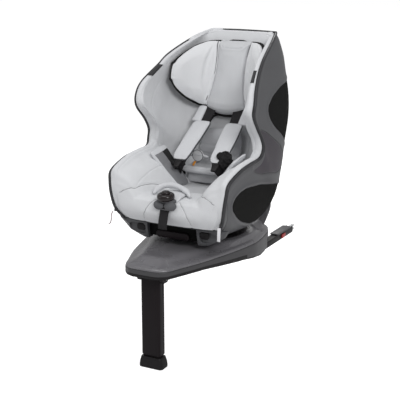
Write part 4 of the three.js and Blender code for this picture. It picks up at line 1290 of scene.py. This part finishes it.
tube("holder_bar", curve_pts([(-78, 38, 318), (-60, 34, 322), (-45, 33, 324), (-28, 34, 322),
                              (-8, 38, 317)], 40), 4.2, PAD_CLOTH, "pad_fabric", n=12)
for node, bevel, material in (
        ("leg_adjust_button", 0.9, BLACK), ("leg_inner_tube", 1.0, LEG),
        ("turntable_cradle", 1.2, BLACK), ("leg_outer_tube", 1.2, LEG)):
    refine(node, bevel, material)

# ---------------------------------------------------------------- leg foot and buckle
LEG_Y = -347


def rounded_rect(w, d, r, n=8):
    """outline with half-sizes w, d and corner radius r"""
    out = []
    for cx, cy, start in ((w - r, d - r, 0), (-w + r, d - r, 90),
                          (-w + r, -d + r, 180), (w - r, -d + r, 270)):
        for i in range(n + 1):
            a = math.radians(start + 90 * i / n)
            out.append((cx + r * math.cos(a), cy + r * math.sin(a)))
    return out


# Foot rings: z, half-width, half-depth, corner radius
FOOT = [(-275, 39.5, 21, 9), (-274, 41.2, 22.6, 10), (-268, 41.8, 23, 10.5),
        (-255, 40, 22.4, 10), (-247, 37.5, 21.4, 9.5), (-241, 36, 20.2, 9), (-239, 34.5, 19, 8)]
rings = [[(x, y + LEG_Y, z) for x, y in rounded_rect(w, d, r)] for z, w, d, r in FOOT]
obj = rings_obj("leg_foot_shoe", rings, BLACK, "black_plastic", body="leg_lower", sharp=50)
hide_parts("leg_foot")

# Buckle profiles: radius, z
HOUSING = [(18, 245.6), (23, 246.6), (26.4, 250.5), (27.6, 256), (27.2, 261), (25.6, 264.6),
           (22.5, 266.6), (18.6, 267.4), (14.8, 267.0), (14.0, 265.4), (13.9, 255.0)]
PUSH = [(12.9, 261.0), (13.0, 270.4), (12.4, 272.6), (10.4, 274.0), (6, 274.6), (1, 274.8)]
for name, profile, body, node in (("buckle_housing", HOUSING, "buckle", "buckle_body"),
                                  ("buckle_push", PUSH, "buckle_press", "buckle_button")):
    obj = lathe(name, profile, 0, -262, GLOSS, "gloss_black", body, tilt=0.08, z0=-3.5,
                sharp=60)
    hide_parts(node)

# ---------------------------------------------------------------- base
# Right half of the base outline from front to back: x, y
BASE_HALF = np.array([
    (37, -405), (60, -396), (76, -380), (93, -337), (121, -265), (145, -180), (166, -93),
    (180, -4), (178, 50), (170, 104), (158, 158), (136, 196), (96, 217), (48, 224)], float)
BASE_OUTLINE = curve_pts(np.vstack([BASE_HALF, BASE_HALF[::-1] * (-1, 1)]), 260, closed=True)
BASE_CENTRE = np.array([0, -60.0])


def inset_outline(inset):
    """base outline moved inward"""
    along = np.roll(BASE_OUTLINE, -2, 0) - np.roll(BASE_OUTLINE, 2, 0)
    along /= np.linalg.norm(along, axis=1, keepdims=True)
    inward = np.stack([along[:, 1], -along[:, 0]], 1)
    if ((BASE_OUTLINE - BASE_CENTRE) * inward).sum() > 0:
        inward = -inward
    return BASE_OUTLINE + inward * inset


def under_z(y):
    """underside of the base, raised toward the front"""
    return np.interp(y, [-460, -252, -66, 60, 300], [33, 33, 17, 0, 0])


def build_side_band():
    rows = [[(x, y, under_z(y) + dz) for x, y in inset_outline(inset)]
            for inset, dz in ((7, 1.2), (3, 0.2), (0.8, 1.6), (-0.4, 5))]
    rows += [[(x, y, under_z(y) + 5 + (55.4 - under_z(y) - 5) * q)
              for x, y in inset_outline(-0.6)] for q in (0.3, 0.6, 0.9)]
    rows += [[(x, y, z) for x, y in inset_outline(inset)]
             for inset, z in ((-0.4, 56.0), (1.4, 56.8))]
    obj = rings_obj("base_side_band", rows, BAND, "black_plastic", "open", body="base")
    paint(obj, [BLACK], lambda c, normal: c[2] < under_z(c[1]) + 10.5)
    # openings low at the back, in frame metres
    bm = bmesh.new()
    bm.from_mesh(obj.data)
    gone = []
    for face in bm.faces:
        c = face.calc_center_median()
        if 0.117 < abs(c.x) < 0.163 and c.y > -0.03 and c.z < 0.0285:
            gone.append(face)
    bmesh.ops.delete(bm, geom=gone, context='FACES')
    bm.to_mesh(obj.data)
    bm.free()


def deck_z(x, y):
    """height of the base top: a raised front spine running up to the turntable collar"""
    u = np.clip((y + 392) / 60, 0, 1)
    rise = u * u * (3 - 2 * u)
    spine = np.interp(y, [-400, -330, -250, -120], [44, 58, 84, 130])
    z = 68.0 + 15.5 * rise * (1 / (1 + np.exp((np.abs(x) - spine) / 7.0)))
    collar = 1 / (1 + np.exp((np.hypot(x, y) - 172) / 5.0))
    return np.maximum(z, 68 + 17.5 * collar)


def build_deck():
    edge = [(0.0, 57.6), (0.2, 59.4), (1.2, 61.4), (3.2, 63.4), (6.5, 65.4), (11, 66.9),
            (17, 67.9)]          # inset, z
    rows = [[(x, y, z) for x, y in inset_outline(inset)] for inset, z in edge]
    inner = inset_outline(edge[-1][0])
    for k in np.linspace(0.90, 0.03, 54):
        ring = (inner - BASE_CENTRE) * (k / 0.90 * 0.985) + BASE_CENTRE
        rows.append([(x, y, float(deck_z(x, y))) for x, y in ring])
    obj = rings_obj("base_deck", rows, BASE, "shell_plastic", body="base")
    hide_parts("base_upper_housing")


def build_back_wall():
    """wall that rises behind the seat; its profile is (radius, z)"""
    foot = np.array([224, 62])
    profile = curve_pts([(224, 64), (230, 68), (244, 90), (256, 106), (270, 128), (274, 131),
                         (279, 129), (266, 105), (254, 88), (240, 66), (232, 60)], 60)
    grid = []
    for a in np.radians(np.linspace(55, 125, 90)):
        size = min(1, (35 - abs(math.degrees(a) - 90)) / 9)
        size = math.sin(max(0.02, size) * math.pi / 2)
        grid.append([(r * math.cos(a), r * math.sin(a), z)
                     for r, z in foot + (profile - foot) * size])
    grid_obj("base_back_wall", np.array(grid), BASE, "shell_plastic", body="base")


build_side_band()
build_deck()
build_back_wall()

# ---------------------------------------------------------------- small trims
# blank tabs on the wing edges
for side, sign in SIDES:
    grid = np.array([cover_half(t)[10:26] * (sign, 1, 1) + (0, -1.0, 0.6)
                     for t in np.linspace(13.35, 14.05, 12)])
    normal = grid_normals(grid)
    if normal[5, 8, 1] > 0:
        normal = -normal
    grid_obj(f"blank_tab_{side}", grid + normal * 1.3, PIPING, "piping")
# zip pulls
tube("zip_pull_left", curve_pts([(-194, -262, 182), (-196, -268, 172), (-195, -271, 158),
                                 (-199, -270, 146), (-206, -268, 140)], 40),
     2.0, PULL_CORD, "piping", n=8)
strap("zip_pull_right", [[184, -262, 178], [185, -265, 166], [185, -266, 150],
                         [184, -265, 136]],
      5.2, 1.6, [[1, 0, 0]] * 4, PULL_TAPE, "cover_fabric", n=30)
for side, sign in SIDES:
    lathe(f"zip_slider_{side}", [(1, 182), (3, 182.5), (3.4, 186), (3.2, 190), (1, 191)],
          sign * 187, -259, PIPING, "piping", n=20)
# the cover hooks over the top edge on the left
points = [rim_point(t, 2.0, 1.0) * (-1, 1, 1) + (0, 0, 1.2) for t in np.linspace(15.75, TOP_T, 26)]
x, y, z = points[-1]
points += [np.array([x * k, y + (1 - k * k) * 5, z + 1.6 + (1 - k * k) * 1.6])
           for k in (0.93, 0.86, 0.78, 0.70, 0.63)]
radii = np.interp(np.linspace(0, 1, 80), [0, .15, .97, 1], [1.5, 6.2, 6.4, 5.2])
obj = tube("top_overlap_hem", resample(points, 80), radii, COVER_CLOTH, "cover_fabric", n=18,
           flat=0.8)
roughen(obj, 12, 7.7, 0.9)
# small coloured tab by the seat crease
strap("side_tab", [[-50, 22, 303], [-50, 14, 297], [-50, 8, 291]], 4.0, 1.2, [[1, 0, 0]] * 3,
      ORANGE, "cover_fabric", n=12)
# light cord beside the tongue holder
tube("holder_cord", curve_pts([(-66, 52, 330), (-56, 46, 330), (-45, 43, 325), (-30, 45, 318),
                               (-18, 52, 314)], 40), 2.2, LIGHT, "light_plastic")


# ---------------------------------------------------------------- stage, light, camera (metres)
def build_floor():
    bpy.ops.mesh.primitive_plane_add(size=30, location=(0, 0, -0.2755))
    floor = bpy.context.object
    floor.name = "floor_plane"
    material, tree, coords = new_material("floor_pale")
    fac = add_node(tree, "TexNoise", "Fac", {"Vector": coords, "Scale": 3})
    colour = ramp(tree, fac, (0.84, 0.84, 0.845), (0.88, 0.88, 0.885))
    # the floor glows only as the camera sees it
    seen = add_node(tree, "LightPath", "Is Camera Ray")
    glow = add_node(tree, "Math", 0, {0: seen, 1: 0.60}, operation='MULTIPLY')
    set_surface(tree, {"Base Color": colour, "Roughness": 0.9, "Emission Strength": glow,
                       "Emission Color": (1, 1, 1, 1)})
    floor.data.materials.append(material)


def build_world():
    """white surroundings, full strength to the camera and half as a light"""
    world = bpy.data.worlds.new("studio")
    bpy.context.scene.world = world
    world.use_nodes = True
    tree = world.node_tree
    seen = add_node(tree, "LightPath", "Is Camera Ray")
    strength = add_node(tree, "MapRange", "Result",
                        {"To Min": 0.50, "To Max": 1.0, "Value": seen})
    set_inputs(tree, tree.nodes["Background"], {"Strength": strength, "Color": (1, 1, 1, 1)})


def area_light(name, location, target_z, size, power):
    light = bpy.data.lights.new(name, 'AREA')
    light.energy = power
    light.size = size
    light.color = (1, 1, 1)
    obj = bpy.data.objects.new(name, light)
    bpy.context.scene.collection.objects.link(obj)
    obj.location = location
    aim = Vector((0, -0.15, target_z)) - Vector(location)
    obj.rotation_euler = aim.to_track_quat('-Z', 'Y').to_euler()


def build_camera():
    data = bpy.data.cameras.new("cam")
    data.lens = 90
    data.sensor_width = 36
    camera = bpy.data.objects.new("cam", data)
    scene = bpy.context.scene
    scene.collection.objects.link(camera)
    turn, lift = math.radians(28), math.radians(14.9)
    target = Vector((0, -0.038 - PAD_Y * 0.001, 0.190))
    distance = 3.27586
    back = Vector((math.sin(turn) * math.cos(lift), -math.cos(turn) * math.cos(lift),
                   math.sin(lift)))
    camera.location = target + back * distance
    camera.rotation_euler = (-back).to_track_quat('-Z', 'Y').to_euler()
    scene.camera = camera
    scene.view_settings.view_transform = 'Standard'
    scene.view_settings.look = 'None'


build_floor()
build_world()
area_light("key_light", (2.3, -2.1, 2.3), target_z=0.3, size=1.2, power=56)
area_light("top_light", (-0.5, -1.0, 3.2), target_z=0.3, size=1.8, power=30)
area_light("fill_light", (-2.5, -2.0, 1.2), target_z=0.3, size=1.8, power=9)
area_light("rim_light", (-1.2, 2.2, 1.8), target_z=0.4, size=1.2, power=14)
build_camera()

bpy.context.view_layer.update()
log_size()
